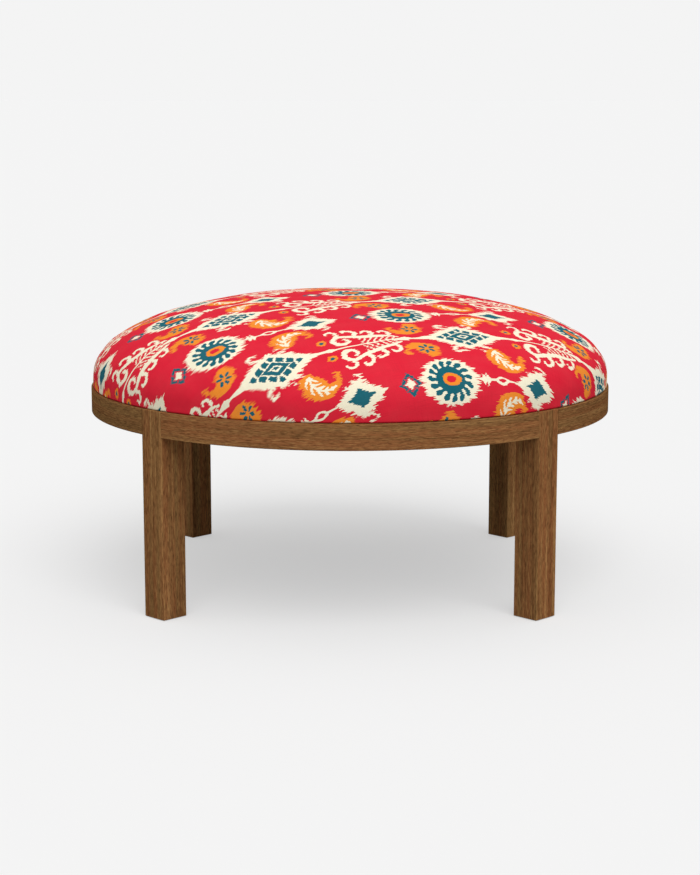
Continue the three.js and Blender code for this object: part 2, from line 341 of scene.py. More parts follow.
def mixed(tree, share, first, second):
    """Goes from the first colour to the second as the share goes from 0 to 1."""
    ends = [end if isinstance(end, bpy.types.NodeSocket) else rgba(end) for end in (first, second)]
    inputs = {0: share, 6: ends[0], 7: ends[1]}
    return node(tree, "Mix", inputs, data_type="RGBA", clamp_factor=True).outputs[2]


def maths(tree, operation, *values):
    return node(tree, "Math", dict(enumerate(values)), operation=operation).outputs[0]


def vector_maths(tree, operation, *values):
    return node(tree, "VectorMath", dict(enumerate(values)), operation=operation).outputs[0]


def scaled(tree, vector, cells, offset=(0, 0, 0)):
    """The vector, in metres, counted in cells of the given sizes in millimetres."""
    return vector_maths(tree, "MULTIPLY_ADD", vector, tuple(1000 / cell for cell in cells), offset)


def noise_at(tree, place, cells, detail=2.0, rough=0.5, offset=(0, 0, 0), output=0):
    """Noise, as a number or as a colour, over a place in metres and in cells sized in millimetres."""
    vector = scaled(tree, place, cells, offset)
    inputs = {"Vector": vector, "Scale": 1.0, "Detail": detail, "Roughness": rough}
    return node(tree, "TexNoise", inputs).outputs[output]


def between(tree, value, low, high, to_low=0.0, to_high=1.0):
    """Spreads the part of a value between low and high over another range."""
    inputs = {"Value": value, "From Min": low, "From Max": high, "To Min": to_low, "To Max": to_high}
    return node(tree, "MapRange", inputs, clamp=True).outputs[0]


def ramp(tree, value, stops):
    made = node(tree, "ValToRGB", {"Fac": value})
    elements = made.color_ramp.elements
    while len(elements) < len(stops):
        elements.new(0.5)
    for element, (position, colour) in zip(elements, stops):
        element.position = position
        element.color = rgba(colour)
    return made.outputs["Color"]


def bump(tree, height, depth, strength):
    """A relief of the given depth in metres."""
    return node(tree, "Bump", {"Height": height, "Distance": depth, "Strength": strength}).outputs["Normal"]


def attribute(tree, name, output="Vector"):
    return node(tree, "Attribute", attribute_name=name, attribute_type="GEOMETRY").outputs[output]


def place_on_object(tree):
    return node(tree, "TexCoord").outputs["Object"]


def split(tree, vector):
    """The vector's three numbers."""
    return node(tree, "SeparateXYZ", {"Vector": vector}).outputs


# Woods. Each is a solid texture, so a board's grain runs on over its edges and ends


def walnut_material(colours):
    """Open-pored walnut with a matt oiled finish. It reads the way along the grain from the mesh."""
    material, tree = new_material("oiled_walnut")
    grain = attribute(tree, "grain")
    bend = noise_at(tree, grain, (260, 30, 30), 1.0, output="Color")
    to_sides = vector_maths(tree, "SUBTRACT", bend, (0.5, 0.5, 0.5))
    bent = vector_maths(tree, "MULTIPLY_ADD", to_sides, (0.0, 6 * MM, 6 * MM), grain)
    waver = noise_at(tree, grain, (17, 7, 7), 1.0, output="Color")
    way = vector_maths(tree, "MULTIPLY_ADD", waver, (0.0, 0.7 * MM, 0.7 * MM), bent)

    bands = noise_at(tree, way, (520, 9, 9))
    streaks = noise_at(tree, way, (210, 1.7, 1.7), 2.0, 0.6, (7, 3, 1))
    tint = noise_at(tree, way, (520, 11, 11), 1.0, offset=(2, 9, 4))
    flecks = noise_at(tree, way, (12, 1.2, 1.2), 1.0, offset=(4, 4, 8))
    glints = noise_at(tree, way, (18, 1.2, 1.2), 1.0, offset=(9, 2, 3))
    pores = noise_at(tree, way, (7, 0.42, 0.42), 1.0, offset=(5, 1, 6))

    stops = [
        (0.34, colours.walnut_dark),
        (0.46, shade_of(colours.walnut, 0.86)),
        (0.55, shade_of(colours.walnut, 1.08)),
        (0.66, colours.walnut_light),
    ]
    body = ramp(tree, maths(tree, "MULTIPLY_ADD", streaks, 0.5, maths(tree, "MULTIPLY", bands, 0.5)), stops)
    reddish = mixed(tree, between(tree, tint, 0.50, 0.66, 0.0, 0.5), body, linear(156, 94, 57))
    olive = mixed(tree, between(tree, tint, 0.48, 0.34, 0.0, 0.5), reddish, linear(148, 115, 70))
    glinting = mixed(tree, between(tree, glints, 0.54, 0.70, 0.0, 0.45), olive, linear(195, 150, 93))
    flecked = mixed(tree, between(tree, flecks, 0.52, 0.64, 0.0, 0.52), glinting, linear(74, 45, 25))
    pored = mixed(tree, between(tree, pores, 0.57, 0.66, 0.0, 0.5), flecked, linear(48, 30, 17))
    patchy = between(tree, streaks, 0.35, 0.6, 0.08, 0.26)
    rubbed = maths(tree, "MULTIPLY", attribute(tree, "wear", "Fac"), patchy)
    worn_wood = mixed(tree, rubbed, pored, linear(180, 134, 84))
    # Each board's tone, with painted light in it: the back legs painted lighter against the seat's shade, the
    # side rails painted darker as painted shade
    tone_with_painted_light = attribute(tree, "board_tone_with_painted_light", "Fac")
    board = node(tree, "HueSaturation", {"Color": worn_wood, "Value": tone_with_painted_light}).outputs["Color"]

    depth = maths(tree, "MULTIPLY_ADD", pores, -0.7, maths(tree, "MULTIPLY", flecks, -0.5))
    with_surface(
        tree,
        Base_Color=board,
        Roughness=between(tree, flecks, 0.4, 0.68, 0.6, 0.76),
        Normal=bump(tree, depth, 0.16 * MM, 0.7),
        Specular_IOR_Level=0.0,
    )
    return material


def softwood_material(colours):
    """Planed softwood with growth rings. It reads the way along the grain from the mesh."""
    pith_y, pith_z = 60.0, 25.0  # millimetres from the grain's own origin to the middle of the trunk
    year = 3.6  # millimetres from ring to ring
    material, tree = new_material("planed_softwood")
    grain = attribute(tree, "grain")
    bend = noise_at(tree, grain, (110, 18, 18))
    fibres = noise_at(tree, grain, (30, 0.6, 0.6))
    _, along_y, along_z = split(tree, scaled(tree, grain, (1, 1, 1)))
    y = maths(tree, "ADD", along_y, pith_y)
    z = maths(tree, "ADD", along_z, pith_z)
    squares = maths(tree, "ADD", maths(tree, "MULTIPLY", y, y), maths(tree, "MULTIPLY", z, z))
    out = maths(tree, "MULTIPLY_ADD", bend, 9.0, maths(tree, "SQRT", squares))
    season = maths(tree, "FRACT", maths(tree, "MULTIPLY", out, 1 / year))
    late = maths(tree, "POWER", season, 4.0)
    pale = mixed(tree, between(tree, fibres, 0.35, 0.65), shade_of(colours.softwood, 0.93), colours.softwood)
    ringed = mixed(tree, maths(tree, "MULTIPLY", late, 0.7), pale, linear(168, 120, 70))
    stain = noise_at(tree, grain, (60, 25, 25), 3.0, offset=(3, 3, 3))
    relief = maths(tree, "MULTIPLY_ADD", fibres, 0.6, maths(tree, "MULTIPLY", late, 0.4))
    with_surface(
        tree,
        Base_Color=mixed(tree, between(tree, stain, 0.55, 0.75, 0.0, 0.3), ringed, linear(150, 122, 86)),
        Roughness=between(tree, fibres, 0.3, 0.7, 0.66, 0.82),
        Normal=bump(tree, relief, 0.15 * MM, 0.8),
    )
    return material


def beech_material():
    """Pale beech with its short dark ray flecks, for the loose tenons."""
    material, tree = new_material("flecked_beech")
    place = place_on_object(tree)
    flecks = noise_at(tree, place, (3.5, 3.5, 0.5), 1.0)
    clouds = noise_at(tree, place, (22, 22, 8))
    body = mixed(tree, between(tree, clouds, 0.3, 0.7), linear(208, 172, 128), linear(224, 194, 152))
    with_surface(
        tree,
        Base_Color=mixed(tree, between(tree, flecks, 0.58, 0.7, 0.0, 0.6), body, linear(160, 116, 74)),
        Roughness=between(tree, flecks, 0.3, 0.7, 0.6, 0.75),
        Normal=bump(tree, flecks, 0.08 * MM, 0.6),
    )
    return material


def plywood_material(deck_bottom):
    """Birch plywood: nine veneers that show on its edge, and a plain-sawn face."""
    veneer = 2 * MM
    material, tree = new_material("birch_plywood")
    place = place_on_object(tree)
    height = maths(tree, "SUBTRACT", split(tree, place)["Z"], deck_bottom)
    layer = maths(tree, "PINGPONG", maths(tree, "MULTIPLY", height, 1 / veneer), 1.0)
    crosswise = maths(tree, "GREATER_THAN", layer, 0.5)
    face = noise_at(tree, place, (160, 5, 400), 3.0, 0.6)
    fibres = noise_at(tree, place, (24, 0.8, 0.8))
    pale = mixed(tree, between(tree, face, 0.35, 0.65), linear(206, 172, 122), linear(226, 198, 152))
    fibred = mixed(tree, between(tree, fibres, 0.5, 0.7, 0.0, 0.35), pale, linear(176, 134, 86))
    with_surface(
        tree,
        Base_Color=mixed(tree, maths(tree, "MULTIPLY", crosswise, 0.4), fibred, linear(168, 124, 78)),
        Roughness=between(tree, fibres, 0.3, 0.7, 0.68, 0.82),
        Normal=bump(tree, fibres, 0.12 * MM, 0.7),
    )
    return material


# The printed fabric. Its figures are drawn by sums, from lengths measured along the cloth


class Field:
    """A number that varies over the cloth, held by the output of a node."""

    def __init__(self, tree, socket):
        self.tree = tree
        self.socket = socket

    def math(self, operation, *others):
        values = [other.socket if isinstance(other, Field) else float(other) for other in others]
        return Field(self.tree, maths(self.tree, operation, self.socket, *values))

    def __add__(self, other):
        return self.math("ADD", other)

    def __sub__(self, other):
        return self.math("SUBTRACT", other)

    def __rsub__(self, other):
        return (self * -1).math("ADD", other)

    def __mul__(self, other):
        return self.math("MULTIPLY", other)

    def __abs__(self):
        return self.math("ABSOLUTE")

    def __lt__(self, other):
        return self.math("LESS_THAN", other)

    def __gt__(self, other):
        return self.math("GREATER_THAN", other)

    def __and__(self, other):
        return self.math("MULTIPLY", other)

    def __or__(self, other):
        return self.math("MAXIMUM", other)

    def curve(self, points):
        """The height, at this number, of a line through the given (number, height) points."""
        made = node(self.tree, "FloatCurve", {"Value": self.socket})
        made.mapping.use_clip = False
        line = made.mapping.curves[0].points
        while len(line) < len(points):
            line.new(0.0, 0.0)
        for knot, (x, y) in zip(line, points):
            knot.location = (x, y)
            knot.handle_type = "VECTOR"
        made.mapping.update()
        return Field(self.tree, made.outputs[0])


def least(first, second):
    return first.math("MINIMUM", second)


def most(first, second):
    return first.math("MAXIMUM", second)


def distance(x, y):
    return (x * x + y * y).math("SQRT")


def bearing(y, x):
    return y.math("ARCTAN2", x)


def wrapped(value, size):
    """The value less whole sizes, from minus half a size to half a size."""
    return value.math("WRAP", size / 2, -size / 2)


def ripple(value, size):
    """0 at whole sizes and 1 half-way between them."""
    return value.math("PINGPONG", size / 2) * (2 / size)


def scroll(x, y, centre_x, centre_y, start, knots):
    """A stroke that curls about a centre. Each knot is the way turned from the start in degrees,
    the distance from the centre and half the stroke's width."""
    across, up = x - centre_x, y - centre_y
    way = knots[-1][0]
    turn = wrapped(bearing(up, across) - radians(start + way / 2), tau) * degrees(1) + way / 2
    spine = turn.curve([(turned_by, out) for turned_by, out, _ in knots])
    widths = [(turned_by, half_width) for turned_by, _, half_width in knots]
    half = turn.curve([(-30, -4), (-4, -1), *widths, (way + 4, -1), (way + 30, -4)])
    return abs(distance(across, up) - spine) < half


class Cloth:
    """The print's own coordinates in millimetres: p goes along the feathered edges and q across them."""

    def __init__(self, tree, repeat_along, repeat_across, turn):
        self.tree = tree
        self.repeat_p = repeat_along / MM
        self.repeat_q = repeat_across / MM
        inputs = {"Vector": attribute(tree, "cloth"), "Angle": -turn}
        place = node(tree, "VectorRotate", inputs, rotation_type="Z_AXIS")
        self.vector = scaled(tree, place.outputs[0], (1, 1, 1))
        p, q, _ = split(tree, self.vector)
        self.p = Field(tree, p)
        self.q = Field(tree, q)

    def noise(self, cell_p, cell_q, seed, depth, detail=0.0):
        """Noise about 0, in cells that long and that wide, and about as deep as given on each side."""
        cells = (1 / cell_p, 1 / cell_q, 0)
        vector = vector_maths(self.tree, "MULTIPLY_ADD", self.vector, cells, (17.3 * seed, 9.1 * seed, 0))
        inputs = {"Vector": vector, "Scale": 1.0, "Detail": detail}
        made = node(self.tree, "TexNoise", inputs, noise_dimensions="2D")
        return (Field(self.tree, made.outputs[0]) - 0.5) * (3 * depth)

    def local(self, p, q, share_p, share_q, turn=0.0, mirrored=False):
        """Coordinates about a figure's middle, which lies at those shares of the repeat."""
        along = wrapped(p - self.repeat_p * share_p, self.repeat_p)
        across = wrapped(q - self.repeat_q * share_q, self.repeat_q)
        if turn:
            right, up = cos(radians(turn)), sin(radians(turn))
            along, across = along * right + across * up, across * right - along * up
        return along, (across * -1 if mirrored else across)

    def nearest(self, p, q, copies):
        """Coordinates about the nearest of several copies of a figure."""
        x, y = self.local(p, q, *copies[0])
        for copy in copies[1:]:
            other_x, other_y = self.local(p, q, *copy)
            closer = (other_x * other_x + other_y * other_y) < (x * x + y * y)
            x = x + (other_x - x) * closer
            y = y + (other_y - y) * closer
        return x, y


# The figures. Each takes coordinates about its own middle, in millimetres, and returns its inks


def corona(x, y):
    """A round cream ground with a toothed edge."""
    turn = bearing(y, x)
    rim = ripple(turn, tau / 22) * 4.0 + (turn * 2).math("COSINE") * 2.0 + 41.5
    return {"cream": distance(x, y * 1.06) < rim}


def drop_ring(x, y):
    """A teal disc with a ring of leaning drops, and an orange heart with a red seed."""
    out = distance(x, y)
    turn = bearing(y, x) + out * 0.011
    drops = [(22.6, 0.62), (24.5, 0.44), (27.5, 0.66), (30.5, 0.72), (33, 0.58), (34.8, 0.25), (36, -0.2)]
    swell = out.curve([(0, 2), (21, 2), *drops, (60, -1)])
    teal = abs(wrapped(turn, tau / 15)) * (30 / tau) < swell
    heart_x = x + 1.5
    heart_out = distance(heart_x, y)
    point = most(bearing(y, heart_x).math("COSINE"), 0.0).math("POWER", 3.0)
    drop = heart_out < point * 7.0 + 11.0
    seed = heart_out < point * 4.0 + 5.2
    return {"teal": teal & (1 - drop), "orange": drop & (1 - seed), "red": seed}


def hooked_diamond(x, y):
    """A long cream diamond with stepped flanks and a hook at each shoulder."""
    across, up = abs(x), abs(y)
    steps = [(0, 36), (4, 40), (7, 33), (12, 30), (16, 34), (20, 27), (26, 23), (30, 26), (34, 19), (41, 15)]
    tail = [(47, 10), (54, 6), (64, 3.4), (80, 2.0), (96, 0), (150, -1)]
    hook = scroll(across, up, 20, 38, -95, [(0, 7.0, 3.2), (110, 7.0, 2.8), (200, 6.2, 2.2), (260, 5.4, 1.4)])
    return {"cream": (up < across.curve(steps + tail)) | hook}


def lattice_heart(x, y):
    """Teal frames one inside the other, the outer one cut into bars."""
    across, up = abs(x), abs(y)
    out = across * (1 / 41) + up * (1 / 27)
    eye = out < 0.14
    ring = (out > 0.26) & (out < 0.56)
    bars = (out > 0.64) & (out < 1.06) & (ripple(across - up * 0.5 + 5.0, 17.0) > 0.24)
    return {"teal": eye | ring | bars}


def small_diamond(x, y):
    """A cream diamond with a hook above and below."""
    across, up = abs(x), abs(y)
    steps = [(0, 27), (3, 30), (6, 23), (11, 21), (15, 24), (18, 16), (24, 12), (27, 13.5), (31, 7), (36, 4)]
    hook = scroll(x, up, 7, 31, -120, [(0, 6.8, 2.8), (120, 6.4, 2.6), (200, 5.6, 2.0), (260, 4.8, 1.2)])
    return {"cream": (up < across.curve([*steps, (42, 0), (100, -1)])) | hook}


def diamond_heart(x, y):
    """A teal diamond on a short bar."""
    out = abs(x) * (1 / 19) + abs(y) * (1 / 15.5)
    bar = (abs(y) < 1.8) & (abs(x) < 22)
    return {"teal": (out < 1) | bar}


def rams_horn(x, y):
    """A cream stem between two wings, each with a great scroll at its foot and hooks along its back."""
    up = abs(y)
    lower_stem = [(-78, -1), (-74, 0.8), (-62, 4), (-54, 1.6), (-30, 1.3)]
    upper_stem = [(36, 1.6), (48, 4.6), (56, 6.4), (64, 2.4), (76, 0.8), (80, -1)]
    stem = up < x.curve(lower_stem + upper_stem)
    foot_knots = [(0, 14.5, 3.4), (90, 12.0, 4.4), (180, 10.5, 3.8), (270, 8.3, 2.8), (325, 6.5, 1.6)]
    foot = scroll(x, up, -36, 20, 90, foot_knots)
    crest = scroll(x, up, -46, 44, -60, [(0, 9, 2.6), (90, 8, 2.8), (180, 7, 2.2), (245, 6, 1.4)])
    middle = x.curve([(-60, 35), (-36, 35), (-12, 25), (10, 19), (32, 15), (48, 8)])
    lower_wing = [(-60, -20), (-38, -1), (-36, 3.4), (-12, 4.8)]
    upper_wing = [(10, 4.2), (32, 3.0), (46, 1.8), (50, -1), (60, -9)]
    wing = abs(up - middle) < x.curve(lower_wing + upper_wing)
    hook_spacing = 24
    along = x - 9
    tier = least(most((along * (1 / hook_spacing)).math("ROUND"), -1.0), 1.0)
    size = tier * -0.1 + 1
    beside = (along - tier * hook_spacing).math("DIVIDE", size)
    height = (up - middle).math("DIVIDE", size)
    hook_knots = [(0, 9.0, 3.0), (90, 8.0, 3.3), (180, 7.0, 2.6), (255, 6.0, 1.6)]
    hooks = scroll(beside, height, -3.5, 13, -65, hook_knots)
    bars = (ripple(x - up * 0.8, 9.5) > 0.68) & (up < middle) & (abs(x - 16) < 27.0)
    return {"cream": stem | foot | crest | wing | hooks | bars}


def boteh_way(x, y):
    """The turn along a boteh's bent spine, and how far off the spine a point lies."""
    turn = bearing(y, x)
    spine = turn.curve([(-pi, 27), (-1.2, 24), (0, 24), (1.2, 21), (2.2, 15.5), (pi, 10.5)])
    return turn, distance(x, y) - spine


def boteh(x, y):
    """An almond shape with a bent tip."""
    turn, off = boteh_way(x, y)
    belly = [(-0.92, 3), (-0.74, 10.5), (-0.45, 16.0), (-0.1, 18.0), (0.2, 17.4), (0.6, 14.0), (1.1, 9.2)]
    tip = [(1.7, 5.4), (2.2, 3.6), (2.6, 4.4), (2.85, 4.2), (3.02, 2.0), (3.08, -1), (pi, -3)]
    return {"orange": abs(off) < turn.curve([(-pi, -3), (-1.05, -3), *belly, *tip])}


# A boteh's coordinates are multiplied by one of these, so the smaller number makes the larger figure
LARGE_BOTEH = 0.92
SMALL_BOTEH = 1.08


def large_boteh(x, y):
    return boteh(x * LARGE_BOTEH, y * LARGE_BOTEH)


def small_boteh(x, y):
    return boteh(x * SMALL_BOTEH, y * SMALL_BOTEH)


def sprig(x, y):
    """A leafy cream sprig along the spine of a large boteh."""
    turn, off = boteh_way(x * LARGE_BOTEH, y * LARGE_BOTEH)
    along = turn * 23.0
    aside = abs(off)
    outline = [(-30, 0), (-18, 0), (-14, 6), (-4, 10), (6, 9.5), (18, 6), (28, 3.5), (34, 0), (60, 0)]
    reach = along.curve(outline)
    leaves = (ripple(along - aside * 1.1, 10.5) > aside * 0.035 + 0.36) & (aside < reach)
    vein = (aside < 1.4) & (abs(along - 9) < 27.0)
    return {"cream_over": leaves | vein}


def floret(x, y):
    """Six teal petals."""
    x, y = x - 21.0, y - 2.0
    out = distance(x, y)
    petal = [(0, -1), (3.2, -1), (4.2, 1.5), (7, 2.4), (10.5, 2.5), (12.6, 1.5), (13.4, -1), (40, -1)]
    return {"teal": abs(wrapped(bearing(y, x), tau / 6)) * out < out.curve(petal)}


def ring_diamond(x, y):
    """A small open diamond in four teal strokes, with a cream heart."""
    out = abs(x) + abs(y) * 0.8
    strokes = (out < 16.5) & (out > 10.6) & (abs(abs(x) - abs(y) * 0.8) > 1.1)
    return {"teal": strokes, "cream": out < 7.8}


def rosette(x, y):
    """A small orange flower with a teal eye."""
    out = distance(x, y)
    return {"orange": out < ripple(bearing(y, x), tau / 8) * 1.4 + 6.6, "teal": out < 3.3}


def bud_stem(x, y):
    """A thin cream stem with two barbs and an open bud."""
    barbs = [(-60, -1), (-32, 1.2), (-26, 2.4), (-23, 10), (-18.5, 3), (-18, 12), (-12, 1.6), (-4, 2.0)]
    bud = [(3, 5.5), (9, 7), (15, 5), (21, 1.6), (34, 1.0), (38, -1), (80, -1)]
    eye = x.curve([(0, -1), (4, 2.2), (9, 3.4), (14, 1.6), (17, -1), (60, -1)])
    return {"cream": (abs(y) < x.curve(barbs + bud)) & (abs(y) > eye)}


LARGE_BOTEHS = [(0.405, 0.25, 200, False), (0.405, 0.76, 160, True)]
SMALL_BOTEHS = [(0.89, 0.29, 20, False), (0.89, 0.71, -20, True)]

# Each figure, its places in the repeat, and how much of the feathering its edges take. A place is the
# shares of the repeat along and across, and for a turned figure its turn in degrees and if it is mirrored
FIGURES = [
    (corona, [(0.0, 0.0)], 1.0),
    (drop_ring, [(0.0, 0.0)], 0.25),
    (small_diamond, [(0.52, 0.0)], 1.0),
    (diamond_heart, [(0.52, 0.0)], 0.6),
    (hooked_diamond, [(0.20, 0.5)], 1.0),
    (lattice_heart, [(0.20, 0.5)], 0.3),
    (rams_horn, [(0.70, 0.5)], 0.4),
    (ring_diamond, [(0.785, 0.0)], 0.4),
    (bud_stem, [(0.265, 0.0)], 0.3),
    (large_boteh, LARGE_BOTEHS, 0.9),
    (sprig, LARGE_BOTEHS, 0.3),
    (small_boteh, SMALL_BOTEHS, 0.9),
    (floret, SMALL_BOTEHS, 0.25),
    (rosette, [(0.475, 0.40), (0.475, 0.62)], 0.4),
]


def print_inks(cloth):
    """Where each ink lies on the cloth, as a field of 0 and 1."""
    streak = cloth.noise(44, 1.5, 1, 5.0) + cloth.noise(18, 3.6, 2, 2.6) + cloth.noise(60, 14, 3, 1.6)
    feathered_q = cloth.q + cloth.noise(22, 9, 4, 1.1)
    inks = {}
    for figure, places, feathering in FIGURES:
        feathered_p = cloth.p + streak * feathering
        x, y = cloth.nearest(feathered_p, feathered_q, places)
        for ink, where in figure(x, y).items():
            inks[ink] = inks[ink] | where if ink in inks else where
    return inks


def printed_fabric_material(seat, colours):
    """A plain-woven cotton, printed in four colours with feathered edges, as a warp-dyed cloth has."""
    thread_spacing = 1.3
    material, tree = new_material("printed_cotton")
    cloth = Cloth(tree, seat.repeat_along, seat.repeat_across, seat.print_turn)
    inks = print_inks(cloth)
    # Each ink is printed over those before it
    dyes = {
        "cream": colours.cream,
        "orange": colours.orange,
        "teal": colours.teal,
        "cream_over": colours.cream,
        "red": colours.ground,
    }
    printed = colours.ground
    for ink, dye in dyes.items():
        printed = mixed(tree, inks[ink].socket, printed, dye)

    warp = cloth.noise(30, 0.9, 7, 0.5, 1.0)
    weft = cloth.noise(0.9, 30, 8, 0.5, 1.0)
    clouds = cloth.noise(45, 30, 9, 0.5, 2.0)
    crossings = ripple(cloth.p, thread_spacing) * ripple(cloth.q, thread_spacing)
    slubs = (warp + weft) * 0.5
    faded = mixed(tree, (clouds * 0.018 + 0.01).socket, printed, linear(238, 224, 204))
    # Lighter on the slubs, as the yarn itself is, and darker along the lines between the threads, a painted
    # shade in the weave's grooves
    yarn_tone_and_groove_shade = (slubs * 0.20 + crossings * 0.10 + 0.975).socket
    weave = (crossings + slubs * 0.8).socket
    with_surface(
        tree,
        Base_Color=node(tree, "HueSaturation", {"Color": faded, "Value": yarn_tone_and_groove_shade}).outputs["Color"],
        Roughness=between(tree, slubs.socket, -0.5, 0.5, 0.82, 0.95),
        Normal=bump(tree, weave, 0.12 * MM, 0.6),
        Specular_IOR_Level=0.05,
    )
    return material


# Other finishes


def foam_material(name, colour):
    """Open-cell foam, with painted shade: its cells' pits are painted darker."""
    material, tree = new_material(name)
    place = place_on_object(tree)
    cells = node(tree, "TexVoronoi", {"Vector": scaled(tree, place, (1.6, 1.6, 1.6)), "Scale": 1.0})
    rise = cells.outputs["Distance"]
    clouds = noise_at(tree, place, (50, 50, 20))
    body = mixed(tree, between(tree, clouds, 0.3, 0.7), shade_of(colour, 0.9), colour)
    with_surface(
        tree,
        # The pits of the cells, where the bump is lowest, are painted darker: painted shade
        Base_Color=mixed(tree, between(tree, rise, 0.0, 0.35, 0.45, 0.0), body, shade_of(colour, 0.5)),
        Roughness=between(tree, clouds, 0.3, 0.7, 0.9, 0.98),
        Normal=bump(tree, rise, 0.5 * MM, 0.8),
    )
    return material


def wadding_material():
    """White polyester wadding, a loose web of fibres."""
    material, tree = new_material("polyester_wadding")
    place = place_on_object(tree)
    bend = noise_at(tree, place, (14, 14, 14), output="Color")
    way = vector_maths(tree, "MULTIPLY_ADD", bend, (12 * MM, 12 * MM, 12 * MM), place)
    fibres = noise_at(tree, way, (9, 0.5, 4), 3.0, 0.7)
    tufts = noise_at(tree, place, (12, 12, 12), 3.0)
    body = mixed(tree, between(tree, tufts, 0.35, 0.65), linear(222, 220, 214), linear(245, 244, 240))
    with_surface(
        tree,
        Base_Color=mixed(tree, between(tree, fibres, 0.5, 0.7, 0.0, 0.35), body, linear(190, 188, 182)),
        Roughness=between(tree, fibres, 0.3, 0.7, 0.9, 1.0),
        Normal=bump(tree, maths(tree, "ADD", fibres, tufts), 0.8 * MM, 0.8),
    )
    return material


def dust_cloth_material():
    """Black spun-bonded cloth: fine random fibres, welded together in small dots."""
    dot_spacing = 1.1  # millimetres from a dot to the gap beside it
    material, tree = new_material("spunbond_cloth")
    place = place_on_object(tree)
    fibres = noise_at(tree, place, (4, 0.35, 4))
    crossing = noise_at(tree, place, (0.35, 4, 4), offset=(3, 1, 2))
    web = maths(tree, "MAXIMUM", fibres, crossing)
    x, y, _ = split(tree, scaled(tree, place, (1, 1, 1)))
    from_dot = [maths(tree, "PINGPONG", along, dot_spacing) for along in (x, y)]
    dots = maths(tree, "LESS_THAN", maths(tree, "ADD", *from_dot), 0.6)
    dust = noise_at(tree, place, (70, 70, 70), 4.0, 0.6)
    body = mixed(tree, between(tree, web, 0.5, 0.7), linear(24, 24, 26), linear(52, 52, 55))
    dusty = mixed(tree, between(tree, dust, 0.5, 0.75, 0.0, 0.08), body, linear(120, 112, 100))
    relief = maths(tree, "SUBTRACT", web, maths(tree, "MULTIPLY", dots, 0.4))
    with_surface(
        tree,
        Base_Color=mixed(tree, maths(tree, "MULTIPLY", dots, 0.5), dusty, linear(16, 16, 17)),
        Roughness=between(tree, web, 0.4, 0.7, 0.72, 0.9),
        Normal=bump(tree, relief, 0.15 * MM, 0.8),
    )
    return material


def zinc_steel_material():
    """Zinc-plated steel with a faint yellow and blue bloom."""
    material, tree = new_material("plated_steel")
    place = place_on_object(tree)
    bloom = noise_at(tree, place, (5, 5, 5))
    scratches = noise_at(tree, place, (0.5, 4, 4))
    body = mixed(tree, between(tree, bloom, 0.35, 0.65), linear(196, 190, 172), linear(178, 184, 192))
    with_surface(
        tree,
        Base_Color=mixed(tree, between(tree, scratches, 0.55, 0.7, 0.0, 0.4), body, linear(120, 116, 106)),
        Metallic=1.0,
        Roughness=between(tree, scratches, 0.3, 0.7, 0.28, 0.5),
        Normal=bump(tree, scratches, 0.03 * MM, 0.6),
    )
    return material


def nylon_material():
    """Dark moulded nylon, scuffed where it slides over a floor."""
    material, tree = new_material("dark_nylon")
    place = place_on_object(tree)
    scuffs = noise_at(tree, place, (0.7, 6, 6), 3.0, 0.65)
    mould = noise_at(tree, place, (0.6, 0.6, 0.6), 1.0)
    scuffed = between(tree, scuffs, 0.52, 0.7, 0.0, 0.5)
    with_surface(
        tree,
        Base_Color=mixed(tree, scuffed, linear(46, 41, 37), linear(112, 104, 96)),
        Roughness=between(tree, scuffs, 0.35, 0.7, 0.42, 0.68),
        Normal=bump(tree, mould, 0.04 * MM, 0.5),
    )
    return material


# Shapes of the wooden frame. A corner's pieces are made in its own frame, where +X points out along the leg

TENON_LENGTH = 36 * MM
TENON_WIDTH = 22 * MM
TENON_THICKNESS = 8 * MM

BLOCK_DEPTH = 70 * MM
BLOCK_SPAN = 176 * MM
BLOCK_NOSE_WIDTH = 96 * MM

# A screw's inset is its distance from an edge, and its cover is the wood beyond its point
RAIL_SCREW_LENGTH = 50 * MM
RAIL_SCREW_INSET = 22 * MM
RAIL_SCREW_COVER = 8 * MM
LEG_SCREW_LENGTH = 60 * MM
LEG_SCREW_COVER = 2.5 * MM
DECK_SCREW_LENGTH = 38 * MM
DECK_SCREW_INSET = 18 * MM
DECK_SCREW_COVER = 4 * MM
DECK_SCREW_ASIDE = 30 * MM  # from the corner's middle line
HOLE_RADIUS = 2.4 * MM
HEAD_HOLE_RADIUS = 4.7 * MM

GLIDE_RADIUS = 11 * MM
GLIDE_THICKNESS = 4 * MM
NAIL_RADIUS = 1.2 * MM
NAIL_LENGTH = 18 * MM

RAIL_ROUNDING = 1 * MM
SUPPORT = 2 * MM  # from a rounded edge to the next line of points, which keeps the flat faces flat
CUT_OVERRUN = 5 * MM  # how far a cutter reaches out of the wood


